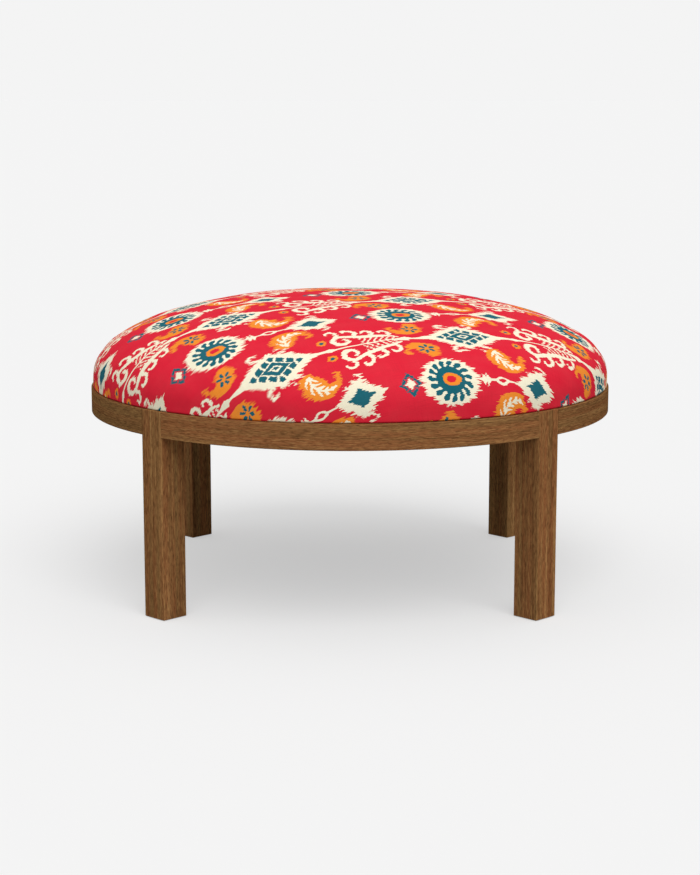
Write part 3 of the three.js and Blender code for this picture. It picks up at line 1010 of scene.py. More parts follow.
class FramePlan:
    """Places that follow from the frame's sizes."""

    def __init__(self, sizes, deck_top):
        self.gap = sizes.contact_gap
        self.ring_radius = sizes.ring_radius
        self.inner_radius = sizes.ring_radius - sizes.rail_thickness
        self.ring_top = sizes.ring_top
        self.ring_bottom = sizes.ring_bottom
        self.ring_middle = (sizes.ring_top + sizes.ring_bottom) / 2
        self.leg_half = sizes.leg_side / 2
        self.leg_outer = sqrt(self.ring_radius**2 - self.leg_half**2)
        self.leg_inner = self.leg_outer - sizes.leg_side
        self.leg_axis = self.leg_outer - self.leg_half
        self.leg_bottom = sizes.leg_bottom
        self.rounding = sizes.edge_rounding
        self.tenon_distance = sqrt((self.ring_radius - sizes.rail_thickness / 2) ** 2 - self.leg_half**2)
        self.block_top = sizes.block_top
        self.block_bottom = sizes.block_bottom
        self.block_edge = self.inner_radius - BLOCK_DEPTH
        self.block_turn = asin(BLOCK_SPAN / 2 / self.inner_radius)

        # A screw's seat is where the underside of its head rests
        self.rail_screw_turn = asin((BLOCK_SPAN / 2 - RAIL_SCREW_INSET) / self.inner_radius)
        self.rail_screw_seat = self.ring_radius - RAIL_SCREW_COVER - RAIL_SCREW_LENGTH
        tenon_face = self.tenon_distance - TENON_THICKNESS / 2 - self.gap
        self.leg_screw_seat = tenon_face - LEG_SCREW_COVER - LEG_SCREW_LENGTH
        self.deck_screw_seat = deck_top - DECK_SCREW_COVER - DECK_SCREW_LENGTH
        out = self.block_edge + DECK_SCREW_INSET
        self.deck_screws = [(out, -DECK_SCREW_ASIDE), (out, DECK_SCREW_ASIDE)]


def leg_outline(plan):
    """Points round a leg's section with the outward direction at each, anticlockwise seen from above."""
    small = plan.rounding
    half = plan.leg_half - small
    inner = plan.leg_inner + small
    outer = sqrt((plan.ring_radius - small) ** 2 - half**2)
    lean = degrees(atan2(half, outer))
    near, far = inner + SUPPORT, outer - SUPPORT
    points = []

    def corner(x, y, start, end):
        for turn in rounded(start, end, 3):
            points.append((x + small * cos(turn), y + small * sin(turn), cos(turn), sin(turn)))

    corner(inner, -half, 180, 270)
    points.extend([(near, -plan.leg_half, 0, -1), (far, -plan.leg_half, 0, -1)])
    corner(outer, -half, -90, -lean)
    for turn in rounded(-lean, lean, 12)[1:-1]:
        points.append((plan.ring_radius * cos(turn), plan.ring_radius * sin(turn), cos(turn), sin(turn)))
    corner(outer, half, lean, 90)
    points.extend([(far, plan.leg_half, 0, 1), (near, plan.leg_half, 0, 1)])
    corner(inner, half, 90, 180)
    points.extend([(plan.leg_inner, half - SUPPORT, -1, 0), (plan.leg_inner, SUPPORT - half, -1, 0)])
    return points


def tenon_slot(plan, side):
    """The mortise for a loose tenon, which lies across the joint on that side of the leg."""
    end_radius = TENON_THICKNESS / 2 + plan.gap
    end_middle = (TENON_WIDTH - TENON_THICKNESS) / 2
    outline = []
    for start, middle in ((0, end_middle), (180, -end_middle)):
        for turn in rounded(start, start + 180, 8):
            outline.append((end_radius * cos(turn), middle + end_radius * sin(turn)))
    half_length = TENON_LENGTH / 2 + plan.gap * 1.5
    slot = prism("slot", outline, -half_length, half_length)
    place = (plan.tenon_distance, side * (plan.leg_half + plan.gap / 2), plan.ring_middle)
    return moved(slot, Matrix.Rotation(pi / 2, 4, "X"), Matrix.Translation(place))


def outward_rod(radius, start, end, height, turn=0.0):
    """A rod that points out from the middle of the seat."""
    return moved(rod(radius, start, end), OUTWARD, Matrix.Translation((0, 0, height)), turn_z(turn))


def leg_mesh(plan):
    """A leg that runs up through the ring, with holes for its tenons, its screw, its glide and its nail."""
    small = plan.rounding
    bottom, top = plan.leg_bottom, plan.ring_top
    ease = [(small * (1 - sin(t)), small * (1 - cos(t))) for t in rounded(0, 90, 3)]
    levels = [(bottom + rise, inset) for inset, rise in ease]
    levels += [(bottom + small + SUPPORT, 0.0), (top - small - SUPPORT, 0.0)]
    levels += [(top - rise, inset) for inset, rise in reversed(ease)]
    outline = leg_outline(plan)
    rings = []
    for height, inset in levels:
        rings.append([(x - inset * nx, y - inset * ny, height) for x, y, nx, ny in outline])
    leg = new_piece("leg", skinned("leg", rings))
    to_axis = Matrix.Translation((plan.leg_axis, 0, 0))
    glide_hole = rod(GLIDE_RADIUS + plan.gap, -CUT_OVERRUN, GLIDE_THICKNESS + plan.gap, 48)
    nail_hole = rod(NAIL_RADIUS + plan.gap, 0.0, NAIL_LENGTH + plan.gap)
    screw_end = plan.leg_screw_seat + LEG_SCREW_LENGTH + plan.gap
    cutters = [
        moved(glide_hole, to_axis),
        moved(nail_hole, to_axis),
        outward_rod(HOLE_RADIUS, plan.leg_screw_seat, screw_end, plan.ring_middle),
        tenon_slot(plan, -1),
        tenon_slot(plan, 1),
    ]
    cut(leg, cutters)
    return finished_mesh(leg)


def rail_mesh(plan):
    """A rail with its middle on +X. Its section is swept round and ends square against both legs."""
    small, steps = RAIL_ROUNDING, 84
    near, far = plan.inner_radius + small, plan.ring_radius - small
    low, high = plan.ring_bottom + small, plan.ring_top - small
    section = []
    for radius, height, start in ((near, low, 180), (far, low, 270), (far, high, 0), (near, high, 90)):
        turns = rounded(start, start + 90, 4)
        section += [(radius + small * cos(t), height + small * sin(t)) for t in turns]
        last_radius, last_height = section[-1]
        section.append((last_radius - SUPPORT * sin(turns[-1]), last_height + SUPPORT * cos(turns[-1])))
    radii, heights = np.array(section).T
    end_turns = pi / 4 - np.arcsin((plan.leg_half + plan.gap) / radii)
    rings = [polar(radii, end_turns * (2 * step / steps - 1), heights) for step in range(steps + 1)]
    rail = new_piece("rail", skinned("rail", rings))
    rail.data.flip_normals()
    seat = plan.rail_screw_seat
    cutters = []
    for side in (-1, 1):
        to_leg = side * pi / 4
        turn = to_leg - side * plan.rail_screw_turn
        screw_end = seat + RAIL_SCREW_LENGTH + plan.gap
        cutters.append(moved(tenon_slot(plan, -side), turn_z(to_leg)))
        cutters.append(outward_rod(HOLE_RADIUS, seat, screw_end, plan.ring_middle, turn))
    cut(rail, cutters)
    return finished_mesh(rail)


def worn(distance_from_edge):
    """How worn the wood is, from 1 on an edge to 0 beside it."""
    return np.clip(1 - distance_from_edge / (1.8 * MM), 0, 1)


def leg_wear(plan, places):
    """The wear at a leg's long edges and round its foot. An edge is near where two faces are."""
    x, y, z = places.T
    outer = np.sqrt(plan.ring_radius**2 - np.minimum(np.abs(y), plan.leg_half) ** 2)
    to_back_or_front = np.minimum(np.abs(x - plan.leg_inner), np.abs(outer - x))
    to_end = np.minimum(np.abs(z - plan.leg_bottom), np.abs(plan.ring_top - z))
    to_faces = np.stack([to_back_or_front, np.abs(plan.leg_half - np.abs(y)), to_end])
    return worn(np.sort(to_faces, axis=0)[1]) * (z < plan.ring_bottom)


def rail_wear(plan, places):
    """The wear along a rail's four long edges."""
    x, y, z = places.T
    out = np.hypot(x, y)
    to_side = np.minimum(np.abs(out - plan.inner_radius), np.abs(plan.ring_radius - out))
    to_face = np.minimum(np.abs(z - plan.ring_bottom), np.abs(plan.ring_top - z))
    return worn(np.maximum(to_side, to_face))


def block_mesh(plan):
    """A corner block that fills the corner behind the leg, between the two rails."""
    notch = plan.leg_half + plan.gap
    outer = plan.inner_radius - plan.gap
    back = plan.leg_inner - plan.gap
    turns = rounded(degrees(asin(notch / outer)), degrees(asin(BLOCK_SPAN / 2 / outer)), 8)
    outline = [(plan.block_edge, BLOCK_NOSE_WIDTH / 2), (plan.block_edge, -BLOCK_NOSE_WIDTH / 2)]
    outline += [(outer * cos(t), -outer * sin(t)) for t in reversed(turns)]
    outline += [(back, -notch), (back, notch)]
    outline += [(outer * cos(t), outer * sin(t)) for t in turns]
    block = new_piece("corner_block", prism("corner_block", outline, plan.block_bottom, plan.block_top))
    bevel = block.modifiers.new("ease", "BEVEL")
    bevel.width = 0.6 * MM
    bevel.segments = 2
    bevel.limit_method = "ANGLE"
    bevel.angle_limit = radians(35)
    apply_modifiers(block)
    low, high = plan.block_bottom - CUT_OVERRUN, plan.block_top + CUT_OVERRUN
    cutters = []
    for x, y in plan.deck_screws:
        to_place = Matrix.Translation((x, y, 0))
        cutters.append(moved(rod(HOLE_RADIUS, low, high), to_place))
        cutters.append(moved(rod(HEAD_HOLE_RADIUS, low, plan.deck_screw_seat - plan.gap), to_place))
    for turn in (-plan.rail_screw_turn, 0.0, plan.rail_screw_turn):
        seat = (plan.rail_screw_seat if turn else plan.leg_screw_seat) - plan.gap
        end = seat + BLOCK_DEPTH + CUT_OVERRUN
        cutters.append(outward_rod(HOLE_RADIUS, seat - 1 * MM, end, plan.ring_middle, turn))
        cutters.append(outward_rod(HEAD_HOLE_RADIUS, seat - BLOCK_DEPTH, seat, plan.ring_middle, turn))
    cut(block, cutters)
    return finished_mesh(block)


# Fasteners and glides. Their lines are (radius, height) points in millimetres

SCREW_HEAD = [(2.6, -2.6), (3.5, -2.45), (4.1, -2.0), (4.38, -1.4), (4.38, -0.5), (4.2, -0.3)]
SCREW_NECK = [(2.1, -0.3), (1.9, 0.4)]
SCREW_PITCH = 2.2 * MM
CORE_RADIUS = 1.55 * MM
CREST_RADIUS = 2.32 * MM
CREST_SHARE = 0.24  # of the pitch, on each side of the crest
LEVELS_PER_TURN = 8
THREAD_START = 1.5 * MM
THREAD_END = 0.6 * MM  # short of the point
POINT_LENGTH = 5 * MM
POINT_RADIUS = 0.15 * MM


def in_metres(line):
    return [(radius * MM, height * MM) for radius, height in line]


def recess_blade(turn):
    """One of the two blades that cut the cross recess in a screw's head."""
    rings = []
    for sizes in ((2.0, 0.5, -2.8), (0.9, 0.3, -1.1)):
        wide, thin, height = (size * MM for size in sizes)
        sides = [(-wide, -thin), (wide, -thin), (wide, thin), (-wide, thin)]
        rings.append([(x, y, height) for x, y in sides])
    return moved(skinned("blade", rings), turn_z(turn))


def screw_mesh(length):
    """A pan-head screw pointing along +Z, with the underside of its head at the origin."""
    turns = np.linspace(0, tau, 18, endpoint=False)
    rings = [polar(radius, turns, height) for radius, height in in_metres(SCREW_HEAD + SCREW_NECK)]
    height = THREAD_START
    while height < length - THREAD_END:
        taper = min((length - height) / POINT_LENGTH, 1.0)
        fade = min((height - THREAD_START) / SCREW_PITCH, 1.0) * taper
        core = CORE_RADIUS * (0.25 + 0.75 * taper)
        phase = (height / SCREW_PITCH - turns / tau) % 1.0
        ridge = np.maximum(0.0, 1 - np.abs(phase - 0.5) / CREST_SHARE)
        rings.append(polar(core + (CREST_RADIUS - CORE_RADIUS) * ridge * fade, turns, height))
        height += SCREW_PITCH / LEVELS_PER_TURN
    rings.append(polar(POINT_RADIUS, turns, length))
    screw = new_piece("screw", skinned("screw", rings))
    cut(screw, [recess_blade(0.0), recess_blade(pi / 2)])
    return finished_mesh(screw, 50)


def glide_mesh():
    """A moulded glide with a countersink for its nail."""
    line = [(1.35, 1.3), (3.3, 1.3), (3.6, 0.5), (4.2, 0.1), (9.6, 0.0)]
    line += [(10 + sin(t), 1 - cos(t)) for t in rounded(10, 90, 5)]
    line += [(11, 3.6), (10.7, 4.0), (1.35, 4.0)]
    return finished_mesh(new_piece("glide", turned("glide", in_metres(line), 48, "joined")))


def nail_mesh():
    """The glide's nail, whose head lies in the countersink."""
    line = [(2.2, 0.35), (2.8, 0.5), (3.0, 0.8), (2.9, 1.2), (1.2, 1.25), (1.2, 16.8), (0.2, 18.0)]
    return finished_mesh(new_piece("nail", turned("nail", in_metres(line), 24)), 35)


# The seat. A way is a length along its line, from the crown out and down

SHOULDER_POWER = 2.29  # shapes the dome: 2 is an ellipse, and more makes it squarer
CROWN_POWER = 2.23
CROWN_FLAT = 1.5 * MM  # radius of the face that closes a turned mesh at its crown


class SeatPlan:
    """The outside of the dome as a line from its crown down to its foot, and lines like it inside."""

    def __init__(self, seat, sizes):
        self.gap = sizes.contact_gap
        self.bottom = sizes.ring_top + self.gap
        self.radius = seat.seat_radius
        self.foot = sizes.ring_top + seat.upright_side
        rise = seat.seat_top - self.foot
        turn = np.linspace(0, pi / 2, 4001)
        across = np.sin(turn) ** (2 / SHOULDER_POWER)
        up = np.maximum(np.cos(turn), 0) ** (2 / CROWN_POWER)
        up[-1] = 0.0
        radius = self.radius * across
        height = self.foot + rise * up
        out = across ** (SHOULDER_POWER - 1) / self.radius
        above = up ** (CROWN_POWER - 1) / rise
        size = np.hypot(out, above)
        self.way = np.concatenate([[0], np.cumsum(np.hypot(np.diff(radius), np.diff(height)))])
        self.length = self.way[-1]
        self.lines = [radius, height, out / size, above / size]

    def at(self, way):
        """The radius, the height, and how far the outward direction points out and up."""
        return [np.interp(way, self.way, line) for line in self.lines]

    def moved_in(self, inset, steps):
        """Radii and heights along the dome moved inwards, from its foot to its crown."""
        radius, height, out, above = self.at(np.linspace(self.length, 0, steps))
        return radius - inset * out, height - inset * above

    def dome(self, inset, steps, low=0.0):
        """(radius, height) points of the dome moved inwards, from its foot, or a height, to its crown."""
        radius, height = self.moved_in(inset, steps)
        radius[-1] = CROWN_FLAT
        points = list(zip(radius, height))
        if not low:
            return points
        clear_of_low = low + 0.5 * MM
        return [(self.dome_radius(inset, low), low)] + [p for p in points if p[1] > clear_of_low]

    def dome_radius(self, inset, height):
        """The radius at a height of the dome moved inwards, or of the upright side below it."""
        if height <= self.foot:
            return self.radius - inset
        radii, heights = self.moved_in(inset, 2000)
        return float(np.interp(height, heights, radii))


def disc_grid(cells):
    """A square net of points spread evenly over a disc of radius 1: how far out each lies, and its turn."""
    line = np.linspace(-1, 1, cells + 1)
    a, b = np.meshgrid(line, line, indexing="ij")
    wide = np.abs(a) >= np.abs(b)
    safe_a = np.where(a == 0, 1.0, a)
    safe_b = np.where(b == 0, 1.0, b)
    turn = np.where(wide, pi / 4 * b / safe_a, pi / 2 - pi / 4 * a / safe_b)
    reach = np.where(wide, a, b)
    turn = np.where(reach < 0, turn + pi, turn)
    return np.abs(reach).ravel(), turn.ravel()


def grid_faces(cells):
    """The faces of the square net."""
    side = cells + 1
    corner = np.arange(cells * side).reshape(cells, side)[:, :-1].ravel()
    return [(int(c), int(c + side), int(c + side + 1), int(c + 1)) for c in corner]


def grid_rim(cells):
    """The points on the edge of the square net, in order, anticlockwise."""
    side = cells + 1
    index = np.arange(side * side).reshape(side, side)
    return [int(i) for i in [*index[:-1, 0], *index[-1, :-1], *index[:0:-1, -1], *index[0, :0:-1]]]


def unevenness(way, turn, plan):
    """How uneven the stuffing is, with faint puckers where the cloth is pulled under, in metres."""
    lump_depth, broad_depth, pucker_depth = 0.16 * MM, 0.3 * MM, 0.22 * MM
    pucker_reach = 42 * MM
    u, v = way * np.cos(turn), way * np.sin(turn)
    lumps = np.sin(u * 61 + 2 * np.sin(v * 37)) * np.sin(v * 53 + 1.5 * np.sin(u * 29) + 1)
    broad = np.sin(u * 19 + 0.7) * np.sin(v * 23 + 2.1)
    near_foot = np.clip(1 - (plan.length - way) / pucker_reach, 0, 1) ** 2
    puckers = 1 + np.sin(turn * 74 + 2.2 * np.sin(turn * 5)) * (0.6 + 0.4 * np.sin(turn * 11 + 1))
    return lump_depth * lumps + broad_depth * broad - pucker_depth * near_foot * puckers


def settled(plan, cells):
    """Pulls the cloth over the stuffing: a sheet fixed round the foot of the dome is blown out a little.
    Returns how far each point of its net moves out, less the mean at that distance from the crown."""
    frames = 20
    limit = 1.6 * MM
    reach, turn = disc_grid(cells)
    radius, height, out, above = plan.at(reach * plan.length)
    start = polar(radius, turn, height)
    outward = polar(out, turn, above)
    sheet = new_piece("cloth_trial", mesh_of("cloth_trial", start, grid_faces(cells)))
    pins = sheet.vertex_groups.new(name="pins")
    pins.add([int(i) for i in np.nonzero(reach > 1 - 1e-6)[0]], 1.0, "REPLACE")
    cloth = sheet.modifiers.new("cloth", "CLOTH")
    settings = cloth.settings
    settings.quality = 6
    settings.mass = 0.4
    settings.tension_stiffness = 25
    settings.compression_stiffness = 25
    settings.shear_stiffness = 4
    settings.bending_stiffness = 2
    settings.vertex_group_mass = "pins"
    settings.use_pressure = True
    settings.uniform_pressure_force = 4
    settings.effector_weights.gravity = 0
    cloth.point_cache.frame_start = 1
    cloth.point_cache.frame_end = frames
    scene = bpy.context.scene
    for number in range(1, frames + 1):
        scene.frame_set(number)
    graph = bpy.context.evaluated_depsgraph_get()
    end = points_of(sheet.evaluated_get(graph).data)
    scene.frame_set(1)
    moved_out = np.einsum("ij,ij->i", end - start, outward)
    bpy.data.objects.remove(sheet)
    level = np.round(reach * cells / 2).astype(int)
    mean = np.bincount(level, moved_out) / np.bincount(level)
    return np.clip(moved_out - mean[level], -limit, limit).reshape(cells + 1, cells + 1)


def finer(field, times):
    """The field on a net with that many times the cells, by straight interpolation and some smoothing."""
    coarse = np.arange(field.shape[0])
    fine = np.linspace(0, coarse[-1], coarse[-1] * times + 1)
    rows = np.stack([np.interp(fine, coarse, column) for column in field.T], axis=1)
    both = np.stack([np.interp(fine, coarse, row) for row in rows], axis=0)
    for _ in range(4):
        inner = both[1:-1, 1:-1]
        around = both[:-2, 1:-1] + both[2:, 1:-1] + both[1:-1, :-2] + both[1:-1, 2:]
        both[1:-1, 1:-1] = 0.5 * inner + 0.125 * around
    return both


COVER_CELLS = 120
TRIAL_CELLS = 40
UNEVENNESS_LIMIT = 0.75 * MM

# Radii of the cover's rows under the deck, from the foot in to its edge, and where it has small pleats
UNDER_RADII = [r * MM for r in (396, 390, 384, 381, 378, 374, 370, 366, 363, 360, 355, 350, 344)]
PLEATS_INNER = 361 * MM
PLEATS_OUTER = 380 * MM
PLEATS_FADE = 5 * MM
PLEATS_DEPTH = 0.75 * MM
INSIDE_SAG = 0.9  # how much of a pleat the inside of the cloth follows


def lower_rows(seat, plan):
    """The cover's rows below the dome: its upright side, the rounded foot and the edge under the deck.
    Each is a radius, a height, how far its outward direction points out and up, its way, and its share
    of the rim's unevenness."""
    rounding = seat.foot_rounding
    upright_end = plan.bottom + rounding
    rows = []
    for share in (0.25, 0.5, 0.75, 1.0):
        height = plan.foot + (upright_end - plan.foot) * share
        rows.append((plan.radius, height, 1.0, 0.0, plan.length + plan.foot - height, 1.0))
    side_way = plan.length + plan.foot - upright_end
    for angle in rounded(0, 90, 5)[1:]:
        radius = plan.radius - rounding * (1 - cos(angle))
        height = upright_end - rounding * sin(angle)
        rows.append((radius, height, cos(angle), -sin(angle), side_way + rounding * angle, cos(angle)))
    foot_way = side_way + rounding * pi / 2
    for radius in UNDER_RADII:
        rows.append((radius, plan.bottom, 0.0, -1.0, foot_way + plan.radius - rounding - radius, 0.0))
    return rows


def give_bake_map(mesh, cloth, edge_faces):
    """Spreads the outside of the cloth over the bake's map. The inside and the last faces, which make the
    cloth's edge, aren't seen and lie small in a corner of it."""
    margin = 1.02
    small, corner = 0.15, 0.078
    count = len(cloth)
    size = 2 * margin * np.abs(cloth).max()
    spots = np.concatenate([cloth / size + 0.5, cloth / size * small + corner])
    numbers = np.empty(len(mesh.loops), np.int32)
    mesh.loops.foreach_get("vertex_index", numbers)
    edge = numbers[-4 * edge_faces :]
    edge[:] = edge % count + count
    mesh.uv_layers.new(name="OFBake").data.foreach_set("uv", spots[numbers].astype(np.float32).ravel())


def cover_mesh(seat, plan):
    """The printed cover: the dome, its upright side, the rounded foot and the edge folded under the deck.
    Also returns the way to its edge."""
    thickness = seat.cover_thickness
    reach, turn = disc_grid(COVER_CELLS)
    way = reach * plan.length
    raised = unevenness(way, turn, plan)
    raised = raised + finer(settled(plan, TRIAL_CELLS), COVER_CELLS // TRIAL_CELLS).ravel()
    raised = np.clip(raised, -UNEVENNESS_LIMIT, UNEVENNESS_LIMIT)
    radius, height, out, above = plan.at(way)
    outside = [polar(radius + out * raised, turn, height + above * raised)]
    inside = [outside[0] - thickness * polar(out, turn, above)]
    cloth = [polar(way, turn, 0.0)]

    rim = grid_rim(COVER_CELLS)
    turn, rim_raised = turn[rim], raised[rim]
    pleats = np.maximum(0, np.sin(turn * 46 + 2.4 * np.sin(turn * 7))) ** 2
    rows = lower_rows(seat, plan)
    for radius, height, out, above, way, share in rows:
        raised = rim_raised * share
        within = min(PLEATS_OUTER - radius, radius - PLEATS_INNER)
        sag = PLEATS_DEPTH * np.clip(within / PLEATS_FADE, 0, 1) * pleats
        outside.append(polar(radius + out * raised, turn, height + above * raised - sag))
        inner_height = height - above * thickness - INSIDE_SAG * sag
        inside.append(polar(radius + out * (raised - thickness), turn, inner_height))
        cloth.append(polar(way, turn, 0.0))

    faces = grid_faces(COVER_CELLS)
    count = (COVER_CELLS + 1) ** 2
    upper = rim
    for _ in rows:
        lower = range(count, count + len(rim))
        faces += band(lower, upper)
        upper = lower
        count += len(rim)
    inner_faces = [tuple(number + count for number in reversed(face)) for face in faces]
    edge_faces = band([number + count for number in upper], upper)
    mesh = mesh_of("seat_cover", np.concatenate(outside + inside), faces + inner_faces + edge_faces)
    cloth = np.concatenate(cloth)
    give_vectors(mesh, "cloth", np.concatenate([cloth, cloth]))
    give_bake_map(mesh, cloth[:, :2], len(edge_faces))
    mesh.shade_smooth()
    return mesh, rows[-1][4]


def wadding_mesh(seat, plan):
    """The wadding under the cover, with a slightly uneven outside."""
    steps = 60
    ease, clearance = 2 * MM, 1.2 * MM
    roughness = 0.0006  # of the radius
    smooth_crown = 30 * MM
    inset = seat.cover_thickness + clearance
    inner_inset = seat.cover_thickness + plan.gap + seat.wadding_thickness
    outer, inner = plan.radius - inset, plan.radius - inner_inset
    bottom = seat.deck_bottom
    outer_line = [(inner, bottom)]
    outer_line += [(outer - ease * (1 - sin(t)), bottom + ease * (1 - cos(t))) for t in rounded(0, 90, 3)]
    outer_line += plan.dome(inset, steps)
    inner_line = plan.dome(inner_inset, steps)
    inner_line[0] = (inner, plan.foot)
    turns = np.linspace(0, tau, 144, endpoint=False)
    rings = [polar(radius, turns, height) for radius, height in reversed(inner_line)]
    for radius, height in outer_line:
        rough = np.sin(turns * 31 + height * 300) * np.sin(radius * 170 + 2 * np.sin(turns * 9))
        share = roughness if radius > smooth_crown else 0.0
        rings.append(polar(radius * (1 + share * rough), turns, height))
    mesh = skinned("wadding_wrap", rings)
    mesh.shade_smooth()
    mesh.set_sharp_from_angle(angle=radians(60))
    return mesh


def foam_mesh(name, plan, inset, bottom, top=None):
    """A layer of the foam between two heights, or up to the crown, with its edges eased."""
    ease = 0.8 * MM
    line = [(plan.dome_radius(inset, bottom) - ease, bottom)]
    line += plan.dome(inset, 90, bottom + ease)
    if top is not None:
        line = [(radius, height) for radius, height in line if height < top - ease]
        line.append((plan.dome_radius(inset, top - ease), top - ease))
        line.append((plan.dome_radius(inset, top) - ease, top))
    return finished_mesh(new_piece(name, turned(name, line, 120)), 35)


HEM = 12 * MM
DUST_CLOTH = 0.3 * MM  # thickness of one layer


def dust_cover_mesh(plan, radius, top):
    """The cloth under the seat: a hem folded double round its edge, inside it small waves and a slight
    sag, and holes for the deck's screws."""
    sag_reach, sag_depth = 300 * MM, 1.6 * MM
    wave_middle, wave_reach, wave_depth = radius - 26 * MM, 16 * MM, 0.12 * MM
    waves = 40
    edge_ease = 0.2 * MM
    turns = np.linspace(0, tau, 160, endpoint=False)
    hem_edge = radius - HEM
    radii = [radius, radius - 0.4 * MM, hem_edge, hem_edge - 0.5 * MM]
    radii += list(np.linspace(radius - 20 * MM, 4 * MM, 30))
    under, over = [], []
    for number, out in enumerate(radii):
        thickness = 2 * DUST_CLOTH if number < 3 else DUST_CLOTH
        sag = sag_depth * (1 - min(out / sag_reach, 1.0) ** 2)
        wave = wave_depth * max(0.0, 1 - abs(out - wave_middle) / wave_reach)
        drop = sag + wave * (1 + np.cos(turns * waves))
        eased = edge_ease if number == 0 else 0.0
        under.append(polar(out, turns, top - thickness - drop + eased))
        over.append(polar(out, turns, top - drop - eased))
    cloth = new_piece("dust_cloth", skinned("dust_cloth", [*reversed(under), *over]))
    holes = []
    for angle in CORNERS.values():
        for x, y in plan.deck_screws:
            hole = rod(HOLE_RADIUS, top - 10 * MM, top + 10 * MM)
            holes.append(moved(hole, Matrix.Translation((x, y, 0)), turn_z(angle)))
    cut(cloth, holes)
    return finished_mesh(cloth, 50)


# A staple's wire, as (length along it, height) points in millimetres
STAPLE = [(-5, 0.35), (-4.9, -0.15), (-4.5, -0.4), (0, -0.45), (4.5, -0.4), (4.9, -0.15), (5, 0.35)]


def staples_mesh(radius, height, clear_of):
    """Flat wire staples round a circle. None lies nearer to a corner than the given turn, because the
    corner blocks press on the cloth there."""
    count = 48
    half_width, half_thickness = 0.55, 0.22
    rings = []
    for along, rise in STAPLE:
        wire = [(half_width * cos(t), along, rise + half_thickness * sin(t)) for t in rounded(0, 315, 7)]
        rings.append([(x * MM, y * MM, z * MM) for x, y, z in wire])
    staple = skinned("staple", rings)
    staple.flip_normals()
    place = Matrix.Translation((radius, 0, height))
    made = bmesh.new()
    for number in range(count):
        angle = tau * (number + 0.5) / count
        from_corner = min(abs((angle - corner + pi) % tau - pi) for corner in CORNERS.values())
        if from_corner > clear_of:
            lean = 0.12 * sin(number * 2.7)  # no two staples lie quite alike
            made.from_mesh(moved(staple.copy(), turn_z(lean), place, turn_z(angle)))
    mesh = bpy.data.meshes.new("dust_cover_staples")
    made.to_mesh(mesh)
    made.free()
    mesh.shade_smooth()
    return mesh


# Operators, one for each piece or group of like pieces

# How light each walnut board is. The back legs are painted lighter to offset the shade they stand in under
# the seat, and the left and right rails are painted darker, a painted shade where the ring's ends turn away
# from the lamp; the other boards differ a little
LEG_TONES_WITH_PAINTED_LIGHT = {"front_left": 1.02, "front_right": 0.99, "back_right": 1.27, "back_left": 1.21}
RAIL_TONES_WITH_PAINTED_LIGHT = {"front": 0.98, "right": 0.86, "back": 1.03, "left": 0.86}

# Steps through the solid texture from board to board, so that no two are alike. The grain runs along X
LEG_GRAIN_STEP = np.array([1.7, 0.31, 0.53])
RAIL_GRAIN_STEP = np.array([2.3, 0.37, 0.61])
BLOCK_GRAIN_START = np.array([0.0, -0.34, -0.29])
BLOCK_GRAIN_STEP = np.array([0.4, 0.012, 0.006])

STAPLE_CLEARANCE = radians(1.5)  # from a corner block to the nearest staple


def frame_plan():
    scene = bpy.context.scene
    return FramePlan(scene.tuffet_frame, scene.tuffet_seat.deck_top)


def seat_plan():
    scene = bpy.context.scene
    return SeatPlan(scene.tuffet_seat, scene.tuffet_frame)


def walnut():
    return bpy.data.materials.get("oiled_walnut") or walnut_material(bpy.context.scene.tuffet_colours)


def zinc_steel():
    return bpy.data.materials.get("plated_steel") or zinc_steel_material()


def turned_copy(shape, name, turn):
    """A copy of a shape that lies on +X, turned to its own corner or side."""
    mesh = shape.copy()
    mesh.name = name
    return moved(mesh, turn_z(turn))


def walnut_mesh(shape, name, turn, grain, wear, tone_with_painted_light):
    """A copy of a walnut shape, with what its material reads."""
    mesh = turned_copy(shape, name, turn)
    give_vectors(mesh, "grain", grain)
    give_numbers(mesh, "wear", wear)
    # The tone holds painted light as well as the board's own tone
    give_numbers(mesh, "board_tone_with_painted_light", np.full(len(wear), tone_with_painted_light))
    return mesh


class TUFFET_OT_legs(bpy.types.Operator):
    """Adds the four square legs, whose outer faces follow the ring"""

    bl_idname = "tuffet.legs"
    bl_label = "Legs"

    def execute(self, context):
        plan = frame_plan()
        shape = leg_mesh(plan)
        places = points_of(shape)
        wear = leg_wear(plan, places)
        upwards = places[:, [2, 0, 1]]
        for number, (corner, angle) in enumerate(CORNERS.items(), 1):
            grain = upwards + LEG_GRAIN_STEP * number
            name = f"walnut_leg_{corner}"
            leg = new_piece(name, walnut_mesh(shape, name, angle, grain, wear, LEG_TONES_WITH_PAINTED_LIGHT[corner]))
            finish_piece(leg, walnut(), [f"leg_{corner}"])
        return {"FINISHED"}


class TUFFET_OT_rails(bpy.types.Operator):
    """Adds the four curved rails, which make the ring with the legs' tops"""

    bl_idname = "tuffet.rails"
    bl_label = "Rails"

    def execute(self, context):
        plan = frame_plan()
        shape = rail_mesh(plan)
        places = points_of(shape)
        x, y, z = places.T
        along_curve = np.stack([np.arctan2(y, x) * plan.ring_radius, np.hypot(x, y), z], axis=1)
        wear = rail_wear(plan, places)
        for number, (side, angle) in enumerate(RAILS.items(), 1):
            grain = along_curve + RAIL_GRAIN_STEP * (number + 0.5)
            name = f"walnut_rail_{side}"
            rail = new_piece(name, walnut_mesh(shape, name, angle, grain, wear, RAIL_TONES_WITH_PAINTED_LIGHT[side]))
            finish_piece(rail, walnut(), [f"rail_{side}"])
        return {"FINISHED"}


